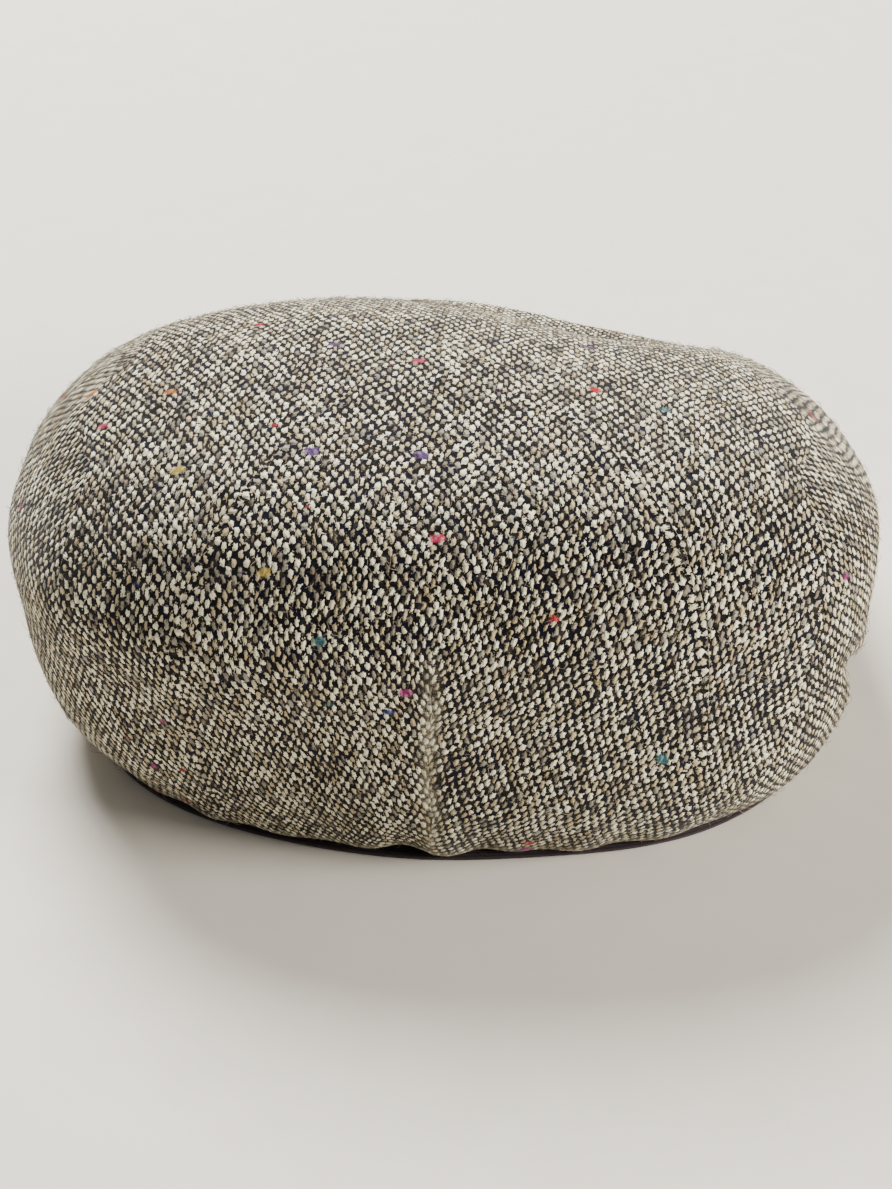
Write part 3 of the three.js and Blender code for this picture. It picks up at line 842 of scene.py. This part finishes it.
def plain_woven_material(name, dark, light, pitch_mm, roughness):
    """A fine even weave for tapes, canvas and labels, laid out in the part's own space. Its colour is
    partly painted shade, darker on the low places of the weave's relief, and partly a random fleck.
    """
    g = Graph(name, roughness=roughness, sheen=0.1, specular=0.3)
    place = g.node("ShaderNodeTexCoord", 3)
    x, y, z = g.split(place)
    turns = 2 * math.pi / (pitch_mm * MM)
    warp = g.math("SINE", g.times(g.add(x, g.times(z, 0.7)), turns))
    weft = g.math("SINE", g.times(g.add(y, g.times(z, 0.7)), turns))
    weave = g.times(warp, weft)
    fleck = g.noise(place, 900.0, 3.0)
    # painted shade: the colour follows the weave's height, so its low places are darker; the fleck part
    # is random tone
    tone = g.add(g.times(g.ramp(weave, -1.0, 1.0), 0.6), g.times(fleck, 0.4))
    g.colour(g.mix(tone, dark, light))
    g.fill(g.shader.inputs["Roughness"], g.ramp(fleck, 0.3, 0.7, roughness - 0.08, roughness + 0.06))
    g.relief(weave, 0.08, 0.7)
    return g.material


def board_material():
    g = Graph("peak_board_plastic", roughness=0.5, specular=0.4)
    place = g.node("ShaderNodeTexCoord", 3)
    grain = g.noise(place, 700.0, 3.0)
    g.colour(g.mix(grain, rgb(206, 202, 190), rgb(226, 222, 212)))
    g.fill(g.shader.inputs["Roughness"], g.ramp(grain, 0.3, 0.7, 0.42, 0.6))
    g.relief(grain, 0.05, 0.5)
    return g.material


def fuzz_material():
    g = Graph("loose_wool", roughness=0.85, sheen=0.2, specular=0.2)
    place = g.node("ShaderNodeTexCoord", 3)
    tone = g.ramp(g.noise(place, 160.0, 2.0), 0.35, 0.65)
    g.colour(g.mix(tone, rgb(36, 32, 30), rgb(150, 138, 116)))
    return g.material


TWEED_LOOK = tweed_material()
SATIN_LOOK = satin_material()
BAND_LOOK = ribbed_material("sweatband_grosgrain", rgb(18, 12, 14), rgb(52, 38, 42), 0.9)
ELASTIC_LOOK = ribbed_material("elastic_knit", rgb(16, 15, 18), rgb(44, 42, 46), 1.6)
TAPE_LOOK = plain_woven_material("tape_cotton", rgb(24, 22, 22), rgb(50, 46, 44), 0.5, 0.88)
CANVAS_LOOK = plain_woven_material("fused_canvas", rgb(168, 156, 128), rgb(214, 204, 178), 0.7, 0.88)
LABEL_LOOK = plain_woven_material("label_satin", rgb(176, 166, 146), rgb(214, 206, 188), 0.3, 0.55)
THREAD_LOOK = plain_woven_material("sewing_thread", rgb(30, 24, 26), rgb(64, 54, 54), 0.25, 0.6)
BOARD_LOOK = board_material()
FUZZ_LOOK = fuzz_material()


# ---- the crown ---------------------------------------------------------------------------

# Plan angles where the side seam leaves the rim, and the degrees over which it climbs and falls.
SEAM_REAR, SEAM_REAR_RUN, SEAM_FRONT, SEAM_FRONT_RUN = -51.0, 29.0, 62.0, 34.0
SEAM_LEAST, SEAM_TOP = 3.0, 102.0  # its distance up from the rim at its ends and at its top
SEAM_OPENING = 0.25  # what shows between two panels where they are sewn
SLOPE_STEP = 0.25  # degrees each side of a place over which the seam's slope is measured
PANEL_END_GAP = 0.05  # degrees between the panels where the seam meets the rim
UNDER_TWEED = TWEED + 1.2  # depth of what is sewn inside the crown
CANVAS_LOW, CANVAS_HIGH, CANVAS_THICKNESS = 6.0, 62.0, 0.8
BACK_TAPE_LOW, BACK_TAPE_HIGH = 20.0, 90.0
SEAM_TAPE_HALF_WIDTH, SEAM_TAPE_THICKNESS = 5.0, 0.5


def right_hand(angles):
    """The same places on the wearer's right, so that both sides share one seam."""
    return np.where(angles > 90.0, 180.0 - angles, angles)


def side_seam_height(angles):
    a = right_hand(angles)
    climb = smoothstep(SEAM_REAR, SEAM_REAR + SEAM_REAR_RUN, a)
    descent = smoothstep(SEAM_FRONT, SEAM_FRONT - SEAM_FRONT_RUN, a)
    return SEAM_LEAST + (SEAM_TOP - SEAM_LEAST) * np.minimum(climb, descent)


def centre_low_edge(angles):
    a = right_hand(angles)
    rise = side_seam_height(angles + SLOPE_STEP) - side_seam_height(angles - SLOPE_STEP)
    run = np.radians(2 * SLOPE_STEP) * plan_radius(CROWN_BELLY, angles)
    clear = SEAM_OPENING * np.hypot(1, rise / run)
    inside = (a > SEAM_REAR) & (a < SEAM_FRONT)
    return np.where(inside, side_seam_height(angles) + clear, 0.0)


def distance_grid(low, high, rows):
    """Distances from low to high at each angle."""
    share = np.linspace(0.0, 1.0, rows + 1)
    return mix(low[:, None], high[:, None], share[None, :])


def settled_grids(angles, distance, depth, thickness):
    """Outer and inner points of a layer `depth` inside the settled crown."""
    normals = crown.normals(angles, distance)
    shape = settle(crown.points(angles, distance), normals, angles, distance)
    outer = shape - normals * depth
    return outer, outer - normals * thickness


rear_end, front_end = SEAM_REAR + SEAM_REAR_RUN, SEAM_FRONT - SEAM_FRONT_RUN
side_angles = np.concatenate(
    [
        np.linspace(SEAM_REAR + PANEL_END_GAP, rear_end, 60),
        np.linspace(rear_end, front_end, 45)[1:],
        np.linspace(front_end, SEAM_FRONT - PANEL_END_GAP, 60)[1:],
    ]
)
right_half = np.concatenate(
    [np.linspace(-90.0, SEAM_REAR, 64), side_angles, np.linspace(SEAM_FRONT, 90.0, 30)]
)
crown_angles = np.concatenate([right_half, 180.0 - right_half[-2::-1]])

crown_distance = distance_grid(centre_low_edge(crown_angles), crown.total(crown_angles), 125)
crown_outer, crown_inner = settled_grids(crown_angles, crown_distance, 0.0, TWEED)
for grid in (crown_outer, crown_inner):
    grid[-1] = grid[0]
    grid[:, -1] = grid[0, -1]
crown_fabric = centre_panel_fabric(crown_angles, crown_distance)
crown_cloth = cloth_body("crown_centre_cloth", crown_outer, crown_inner, crown_fabric, True, True)
finish_piece(crown_cloth, TWEED_LOOK, "tweed", "crown_centre_panel")


def crown_layer(name, angles, edges, rows, layer, material, slot, node):
    """A part of the crown between two edges, at a depth and of a thickness; gives its outer points."""
    distance = distance_grid(*edges, rows)
    outer, inner = settled_grids(angles, distance, *layer)
    cloth = cloth_body(name, outer, inner, side_panel_fabric(angles, distance))
    finish_piece(cloth, material, slot, node)
    return outer


def both_hands(angles):
    return ("right", angles), ("left", 180.0 - angles[::-1])


side_surfaces = []
for hand, angles in both_hands(side_angles):
    edges = (np.zeros(len(angles)), side_seam_height(angles))
    name, node = f"crown_side_cloth_{hand}", f"crown_side_panel_{hand}"
    side_surfaces.append(
        crown_layer(name, angles, edges, 60, (0.0, TWEED), TWEED_LOOK, "tweed", node)
    )

angles = np.linspace(67.0, 113.0, 40)
edges = (np.full(40, CANVAS_LOW), np.full(40, CANVAS_HIGH))
layer = (UNDER_TWEED, CANVAS_THICKNESS)
node = "crown_front_interlining"
crown_layer("crown_front_canvas", angles, edges, 30, layer, CANVAS_LOOK, "canvas", node)

layer = (UNDER_TWEED, SEAM_TAPE_THICKNESS)
half_span = math.degrees(SEAM_TAPE_HALF_WIDTH / (AXIS_Y - centre_low[1]))
angles = np.linspace(-90.0 - half_span, -90.0 + half_span, 9)
edges = (np.full(9, BACK_TAPE_LOW), np.full(9, BACK_TAPE_HIGH))
crown_layer("back_seam_tape", angles, edges, 40, layer, TAPE_LOOK, "tape", "crown_back_seam_tape")

for hand, angles in both_hands(np.linspace(rear_end - 4.0, front_end + 2.0, 60)):
    seam = side_seam_height(angles)
    edges = (seam - SEAM_TAPE_HALF_WIDTH, seam + SEAM_TAPE_HALF_WIDTH)
    name = f"side_seam_tape_{hand}"
    crown_layer(name, angles, edges, 8, layer, TAPE_LOOK, "tape", f"crown_{name}")

# ---- the peak ----------------------------------------------------------------------------

TOP_CLOTH_LIFT = UNDER_CLOTH + PEAK_BOARD + 2 * LAYER_AIR
EDGE_SEAM_LIFT, EDGE_SEAM_HALF_GAP = 2.6, 0.15  # where the two covers meet round the peak's edge
EDGE_SEAM_RUN = 2.6  # how far from the edge they curve to meet
PEAK_END_RUN = (-4.0, 15.0)  # degrees from each end of the peak over which it widens
PEAK_EDGE_CROWDING = 1.35  # power that sets the rows closer near the edge
PEAK_RUFFLE_SPACING, PEAK_RUFFLE = 30.0, 0.12
CUT_TURN = 0.03  # radians that a layer's cloth is turned for each millimetre of cut_at
BOARD_INSET = 2.5  # how far the board stays inside the covers' edge
BOARD_END_TRIM = 9.0  # degrees of each end where the covers are too narrow to hold the board


def peak_plate(name, lift, thickness, inset, edge_shift, cut_at, material, slot, node):
    """A layer of the peak; edge_shift brings its outer edge up or down to the edge seam.

    The layer's cloth is cut from the place cut_at, so that no two layers carry the same floats.
    """
    trim = BOARD_END_TRIM if inset > 0 else 0.0
    angles = np.linspace(PEAK_START + trim, 180.0 - PEAK_START - trim, 260)
    inner_edge = plan_radius(OPENING, angles) + LAYER_AIR
    from_end = 90.0 - PEAK_START - np.abs(angles - 90.0)
    reach = plan_radius(PEAK_EDGE, angles) - inner_edge
    outer_edge = inner_edge + np.maximum(reach * smoothstep(*PEAK_END_RUN, from_end), 1.0)
    near, far = inner_edge + inset, outer_edge - inset
    share = np.linspace(0.0, 1.0, 61) ** PEAK_EDGE_CROWDING
    radius = mix(far[:, None], near[:, None], share[None, :])
    x, y = plan_xy(angles[:, None], radius)
    from_edge = np.minimum(far[:, None] - radius, (np.radians(from_end) * near)[:, None])
    base = peak_underside(x, y) + lift + edge_shift * np.exp(-((from_edge / EDGE_SEAM_RUN) ** 2))
    flat = np.stack([x, y, base], axis=-1).reshape(-1, 3)
    ruffle = value_noise(flat, PEAK_RUFFLE_SPACING, SEED + 3)
    base = base + PEAK_RUFFLE * ruffle.reshape(base.shape)
    upper = np.stack([x, y, base + thickness], axis=-1)
    lower = np.stack([x, y, base], axis=-1)
    c, s = math.cos(CUT_TURN * cut_at), math.sin(CUT_TURN * cut_at)
    fabric = np.stack([cut_at + c * x + s * y, c * y - s * x], axis=-1)
    finish_piece(cloth_body(name, upper, lower, fabric), material, slot, node)
    return upper


top_shift = EDGE_SEAM_LIFT + EDGE_SEAM_HALF_GAP - TOP_CLOTH_LIFT
under_shift = EDGE_SEAM_LIFT - EDGE_SEAM_HALF_GAP - UNDER_CLOTH
board_lift = UNDER_CLOTH + LAYER_AIR
look = (TWEED_LOOK, "tweed")
peak_surface = peak_plate(
    "peak_top_cloth", TOP_CLOTH_LIFT, TOP_CLOTH, 0.0, top_shift, 0.0, *look, "peak_top_cover"
)
peak_plate("peak_under_cloth", 0.0, UNDER_CLOTH, 0.0, under_shift, 7.3, *look, "peak_under_cover")
look = (BOARD_LOOK, "peak_board")
peak_plate("peak_stiffener", board_lift, PEAK_BOARD, BOARD_INSET, 0.0, 0.0, *look, "peak_board")

# ---- bands inside the opening ------------------------------------------------------------


def opening_arc(angles):
    """Length along the head opening, anticlockwise from the first angle."""
    x, y = plan_xy(angles, plan_radius(OPENING, angles))
    return np.concatenate([[0.0], np.cumsum(np.hypot(np.diff(x), np.diff(y)))])


def band_grid(angles, insets, heights):
    """Points at each angle for a profile of insets and heights above the opening's edge."""
    radius = plan_radius(OPENING, angles)[:, None] - insets[None, :]
    x, y = plan_xy(angles[:, None], radius)
    z = opening_height(angles)[:, None] + heights[None, :]
    return settled_sides(np.stack([x, y, z], axis=-1), angles)


def band_fabric(angles, heights):
    along = opening_arc(angles)
    return np.stack(np.broadcast_arrays(along[:, None], heights[None, :]), axis=-1)


BAND_ROWS = 25


def upright_band(name, angles, inset, thickness, lift, height, material, slot, node):
    rise = np.linspace(lift, lift + height, BAND_ROWS)
    outer = band_grid(angles, np.full(BAND_ROWS, inset), rise)
    inner = band_grid(angles, np.full(BAND_ROWS, inset + thickness), rise)
    finish_piece(cloth_body(name, outer, inner, band_fabric(angles, rise)), material, slot, node)


ROLL_RADIUS = 1.8  # the sweatband's lower edge turns outwards under the tweed
ROLL_REACH = 1.5
ROLL_HALF_THICKNESS = 0.8


def rolled_profile():
    """Middle line of the sweatband from its rolled edge to its top, with its normals."""
    middle = BAND_INSET + BAND_THICKNESS / 2
    start = middle - ROLL_RADIUS - ROLL_REACH
    turn = np.radians(np.linspace(0, 90, 9))
    insets = [start, start + ROLL_REACH / 2]
    heights = [ROLL_HALF_THICKNESS] * 2
    normals = [(0.0, 1.0)] * 2
    for a in turn:
        insets.append(start + ROLL_REACH + ROLL_RADIUS * math.sin(a))
        heights.append(ROLL_HALF_THICKNESS + ROLL_RADIUS * (1 - math.cos(a)))
        normals.append((-math.sin(a), math.cos(a)))
    foot = heights[-1]
    for share in np.linspace(0, 1, 22)[1:]:
        insets.append(middle)
        heights.append(mix(foot, BAND_HEIGHT, share))
        normals.append((-1.0, 0.0))
    return np.array(insets), np.array(heights), np.array(normals)


def sweatband_piece():
    angles = np.linspace(-90.0, 270.0, 481)
    insets, heights, normals = rolled_profile()
    half = mix(ROLL_HALF_THICKNESS, BAND_THICKNESS / 2, smoothstep(2.0, 8.0, heights))
    outer = band_grid(angles, insets + normals[:, 0] * half, heights + normals[:, 1] * half)
    inner = band_grid(angles, insets - normals[:, 0] * half, heights - normals[:, 1] * half)
    a = np.radians(angles)[:, None]
    wave = 0.35 * np.sin(23 * a) + 0.25 * np.sin(41 * a + 1.0)
    upper = smoothstep(8.0, BAND_HEIGHT, heights)[None, :]
    inward = -np.stack([np.cos(a), np.sin(a)], axis=-1)
    for grid in (outer, inner):
        grid[..., :2] += inward * (upper * (0.3 + np.abs(wave)))[..., None]
        grid[-1] = grid[0]
    path = np.concatenate([[0.0], np.cumsum(np.hypot(np.diff(insets), np.diff(heights)))])
    band = cloth_body("sweatband_cloth", outer, inner, band_fabric(angles, path), wrap=True)
    finish_piece(band, BAND_LOOK, "sweatband", "sweatband")


sweatband_piece()

HALF_ELASTIC = 22.0  # degrees of plan angle each side of the back
HALF_BREAK = HALF_ELASTIC + 2  # and of the break in the stay tape that the elastic fills
TAB_INSET = BAND_INSET + BAND_THICKNESS + 0.7
# Plan angles of the ends of each band, and the number of places between them.
TAPE_SPAN = (-90.0 + HALF_BREAK, 270.0 - HALF_BREAK, 240)
ELASTIC_SPAN = (270.0 - HALF_ELASTIC, 270.0 + HALF_ELASTIC, 60)
TAB_SPAN = (282.0, 290.0, 16)

# Name, span, inset, thickness, lift, height, look, slot and the CAD node that it stands for.
for name, span, *rest in (
    ("head_size_tape_cloth", TAPE_SPAN, 2.25, 0.6, 5.0, 10.0, TAPE_LOOK, "tape", "head_size_tape"),
    (
        "back_elastic_knit", ELASTIC_SPAN, 1.85, 1.0, 5.0, 20.0,
        ELASTIC_LOOK, "elastic", "sweatband_back_elastic",
    ),
    ("size_tab_cloth", TAB_SPAN, TAB_INSET, 0.5, 9.0, 16.0, LABEL_LOOK, "label", "size_tab_blank"),
):
    upright_band(name, np.linspace(*span), *rest)


def stitches(name, starts, ends, radius, material, slot):
    """Short rounded stitches, each from its start to its end, as one mesh."""
    sides, rings = 6, [(0.0, 0.35), (0.12, 0.85), (0.5, 1.0), (0.88, 0.85), (1.0, 0.35)]
    points, faces = [], []
    for start, end in zip(starts, ends):
        along = unit(end - start)
        first = unit(np.cross(along, (0.0, 0.0, 1.0) if abs(along[2]) < 0.9 else (1.0, 0.0, 0.0)))
        second = np.cross(along, first)
        base = len(points)
        for share, swell in rings:
            for k in range(sides):
                a = 2 * math.pi * k / sides
                offset = swell * radius * (math.cos(a) * first + math.sin(a) * second)
                points.append(mix(start, end, share) + offset)
        for ring in range(len(rings) - 1):
            for k in range(sides):
                a, b = base + ring * sides + k, base + ring * sides + (k + 1) % sides
                faces.append((a, b, b + sides, a + sides))
        faces.append(tuple(base + k for k in reversed(range(sides))))
        top = base + (len(rings) - 1) * sides
        faces.append(tuple(top + k for k in range(sides)))
    made = linked_mesh(name, np.array(points), faces)
    made.data.polygons.foreach_set("use_smooth", np.ones(len(faces), bool))
    finish_piece(made, material, slot)


def stitch_row(path, pitch, share=0.62):
    """Starts and ends of evenly spaced stitches along a path of points."""
    step = np.linalg.norm(np.diff(path, axis=0), axis=-1)
    length = np.concatenate([[0.0], np.cumsum(step)])
    count = max(1, int(length[-1] / pitch))
    begin = np.arange(count) * length[-1] / count
    finish = begin + share * pitch

    def at(places):
        return np.stack([np.interp(places, length, path[:, k]) for k in range(3)], axis=-1)

    return at(begin), at(finish)


STITCH_INSET, STITCH_HEIGHT = BAND_INSET + BAND_THICKNESS + 0.12, 4.6
BAND_STITCH_PITCH, BAND_STITCH_RADIUS = 3.4, 0.24
band_angles = np.linspace(-90.0, 270.0, 721)
band_path = band_grid(band_angles, np.array([STITCH_INSET]), np.array([STITCH_HEIGHT]))[:, 0]
band_row = stitch_row(band_path, BAND_STITCH_PITCH)
stitches("sweatband_stitches", *band_row, BAND_STITCH_RADIUS, THREAD_LOOK, "sweatband")

# ---- the lining --------------------------------------------------------------------------

LINING_CLEARANCE, LINING_DEPTH, LINING_THICKNESS = 3.2, 0.8, 0.5
LINING_INSET, LINING_FOOT_LIFT, LINING_BELLY, LINING_POWER = 2.2, 28.0, 6.0, 3.3
TIP_SIZE = 0.8  # share of the way from the foot to the pole that the tip covers


def lining_top(x, y):
    return top_height(x, y) - TWEED - LINING_CLEARANCE


def lining_shape(angles):
    foot = plan_radius(OPENING, angles) - LINING_INSET
    foot_z = opening_height(angles) + LINING_FOOT_LIFT
    belly = foot + mix(LINING_BELLY, 1.0, peak_share(angles))
    return foot, foot_z, belly, foot_z + 9.0, lining_top, LINING_POWER, LINING_POWER


lining = Surface(lining_shape)


def lining_piece(name, angles, low, high, rows, node, wrap=False, tip=False):
    distance = distance_grid(low, high, rows)
    normals = lining.normals(angles, distance)
    outer = lining.points(angles, distance)
    outer[..., 2] += settled_lift(outer)
    outer = settled_sides(outer, angles)
    a = np.radians(angles)[:, None]
    gather = np.sin(64 * a + 2.0 * np.sin(9 * a)) * smoothstep(46.0, 2.0, distance)
    rumple = value_noise(outer.reshape(-1, 3), 24.0, SEED + 5).reshape(distance.shape)
    slack = 0.55 + 0.45 * gather + 0.8 * np.abs(rumple) * smoothstep(8.0, 60.0, distance)
    slack = slack * smoothstep(0.0, 4.0, distance)
    if wrap:
        slack[:, -1] = slack[0, -1]
    outer = outer - normals * slack[..., None]
    inner = outer - normals * LINING_THICKNESS
    if wrap:
        for grid in (outer, inner):
            grid[-1] = grid[0]
            grid[:, -1] = grid[0, -1]
    cloth = cloth_body(name, outer, inner, distance[..., None] * (1, 1), wrap=wrap, tip=tip)
    finish_piece(cloth, SATIN_LOOK, "lining", node)


tip_angles = np.linspace(-90.0, 270.0, 321)
tip_total = lining.total(tip_angles)
lining_piece(
    "lining_tip_cloth", tip_angles, (1 - TIP_SIZE) * tip_total, tip_total, 70, "lining_tip", True, True
)
for hand, start in (("right", -90.0), ("left", 90.0)):
    angles = np.linspace(start + 0.1, start + 179.9, 300)
    top_edge = (1 - TIP_SIZE) * lining.total(angles) - 0.2
    lining_piece(f"lining_side_cloth_{hand}", angles, 0 * top_edge, top_edge, 26, f"lining_side_{hand}")

LABEL_HALF_LENGTH, LABEL_HALF_DEPTH, LABEL_FORWARD = 26.0, 15.0, 6.0
LABEL_DROP = TWEED + LINING_CLEARANCE + LINING_DEPTH + 2.2
LABEL_THICKNESS, LABEL_SEAM_INSET, LABEL_STITCH_DEPTH = 0.6, 1.5, 0.7
LABEL_STITCH_PITCH, LABEL_STITCH_RADIUS = 2.2, 0.16


def label_points(x, y, depth):
    z = top_height(x, y) - LABEL_DROP - depth
    points = np.stack(np.broadcast_arrays(x, y, z), axis=-1)
    points[..., 2] += settled_lift(points)
    return points


label_x = np.linspace(-LABEL_HALF_LENGTH, LABEL_HALF_LENGTH, 60)[:, None]
label_y = AXIS_Y + LABEL_FORWARD + np.linspace(-LABEL_HALF_DEPTH, LABEL_HALF_DEPTH, 36)[None, :]
label_upper = label_points(label_x, label_y, 0.0)
label_lower = label_points(label_x, label_y, LABEL_THICKNESS)
label = cloth_body("lining_label_cloth", label_upper, label_lower, label_upper[..., :2])
finish_piece(label, LABEL_LOOK, "label", "lining_label_blank")

edge_x, edge_y = LABEL_HALF_LENGTH - LABEL_SEAM_INSET, LABEL_HALF_DEPTH - LABEL_SEAM_INSET
corners = np.array([(-1, -1), (1, -1), (1, 1), (-1, 1), (-1, -1)], float) * (edge_x, edge_y)
frame_path = np.concatenate([np.linspace(a, b, 40) for a, b in zip(corners, corners[1:])])
label_across, label_along = frame_path[:, 0], AXIS_Y + LABEL_FORWARD + frame_path[:, 1]
label_path = label_points(label_across, label_along, LABEL_STITCH_DEPTH)
label_row = stitch_row(label_path, LABEL_STITCH_PITCH)
stitches("label_stitches", *label_row, LABEL_STITCH_RADIUS, THREAD_LOOK, "label")

# ---- loose wool on the surface -----------------------------------------------------------

FIBRES = 12000
FIBRE_LENGTH = (1.0, 3.2)
FIBRE_RADIUS = 0.09


def surface_samples(grid, count, rng):
    """Random places on a grid of points, spread by area, with the surface's normals there."""
    along = grid[1:, :-1] - grid[:-1, :-1]
    up = grid[:-1, 1:] - grid[:-1, :-1]
    normal = np.cross(along, up)
    area = np.linalg.norm(normal, axis=-1).ravel()
    cell = rng.choice(len(area), count, p=area / area.sum())
    a, b = rng.random((2, count, 1))
    base = grid[:-1, :-1].reshape(-1, 3)[cell]
    base = base + a * along.reshape(-1, 3)[cell] + b * up.reshape(-1, 3)[cell]
    return base, unit(normal.reshape(-1, 3)[cell])


def loose_wool(name, grids):
    rng = np.random.default_rng(SEED + 7)
    sizes = np.array([g.shape[0] * g.shape[1] for g in grids], float)
    shares = (FIBRES * sizes / sizes.sum()).astype(int)
    samples = [surface_samples(g, n, rng) for g, n in zip(grids, shares)]
    base = np.concatenate([s[0] for s in samples])
    normal = np.concatenate([s[1] for s in samples])
    count = len(base)
    lie = unit(np.cross(normal, rng.normal(size=(count, 3))))
    bend = unit(np.cross(normal, lie) + 0.3 * rng.normal(size=(count, 3)))
    length = rng.uniform(*FIBRE_LENGTH, (count, 1))
    rise = rng.uniform(0.1, 0.7, (count, 1))
    curl = rng.uniform(-0.5, 0.5, (count, 1))
    rings, sides = 5, 3
    points = np.empty((count, rings, sides, 3))
    for ring in range(rings):
        t = ring / (rings - 1)
        arch = rise * (t * (1.6 - t)) - 0.06
        middle = base + length * (t * lie + arch * normal + curl * t * t * bend)
        width = FIBRE_RADIUS * (1.0 - 0.75 * t)
        for side in range(sides):
            a = 2 * math.pi * side / sides
            points[:, ring, side] = middle + width * (math.cos(a) * normal + math.sin(a) * bend)
    index = np.arange(points[..., 0].size).reshape(count, rings, sides)
    quads = []
    for side in range(sides):
        following = (side + 1) % sides
        a, b = index[:, :-1, side], index[:, :-1, following]
        c, d = index[:, 1:, following], index[:, 1:, side]
        quads.append(np.stack([a, b, c, d], axis=-1).reshape(-1, 4))
    faces = np.concatenate(quads).tolist()
    faces += index[:, 0, ::-1].tolist() + index[:, -1].tolist()
    finish_piece(linked_mesh(name, points.reshape(-1, 3), faces), FUZZ_LOOK, "tweed")


loose_wool("loose_wool_fibres", [crown_outer, *side_surfaces, peak_surface])

# ---- floor, light and camera -------------------------------------------------------------

FLOOR_SIZE = 9.0
CAMERA_PLACE = (0.0, -0.499, 0.360)
CAMERA_PITCH_DOWN = 36.3  # degrees below level
ROOM_COLOUR, ROOM_STRENGTH = (0.9, 0.92, 0.95, 1.0), 0.23
LONG_SIDE, FOCAL_PIXELS, SENSOR = 1189.0, 2000.0, 36.0


def floor_material():
    g = Graph("pale_floor", roughness=0.7, specular=0.25)
    grain = g.noise(g.node("ShaderNodeTexCoord", 3), 60.0, 4.0)
    g.colour(g.mix(grain, rgb(226, 219, 206), rgb(236, 230, 219)))
    return g.material


bpy.ops.mesh.primitive_plane_add(size=FLOOR_SIZE, location=(0, 0, 0))
floor = bpy.context.object
floor.name = "studio_floor"
floor.data.materials.append(floor_material())


def area_light(name, place, target, size, power, tint):
    light = bpy.data.lights.new(name, "AREA")
    light.shape = "DISK"
    light.size = size
    light.energy = power
    light.color = tint
    made = bpy.data.objects.new(name, light)
    made.location = place
    made.rotation_euler = (Vector(target) - Vector(place)).to_track_quat("-Z", "Y").to_euler()
    bpy.context.scene.collection.objects.link(made)


area_light("window_light", (-0.6, 1.3, 1.7), (0, -0.02, 0.05), 1.1, 134.0, (1.0, 0.985, 0.96))
area_light("room_fill", (1.7, -0.5, 0.8), (0.05, -0.05, 0.05), 0.9, 64.0, (1.0, 0.96, 0.9))

world = bpy.data.worlds.new("pale_room")
world.use_nodes = True
world.node_tree.nodes["Background"].inputs["Color"].default_value = ROOM_COLOUR
world.node_tree.nodes["Background"].inputs["Strength"].default_value = ROOM_STRENGTH
bpy.context.scene.world = world

camera_data = bpy.data.cameras.new("photo_camera")
camera_data.sensor_width = SENSOR
camera_data.lens = SENSOR * FOCAL_PIXELS / LONG_SIDE
camera_data.clip_start = 0.01
camera = bpy.data.objects.new("photo_camera", camera_data)
camera.location = CAMERA_PLACE
camera.rotation_euler = (math.radians(90.0 - CAMERA_PITCH_DOWN), 0.0, 0.0)
bpy.context.scene.collection.objects.link(camera)
bpy.context.scene.camera = camera
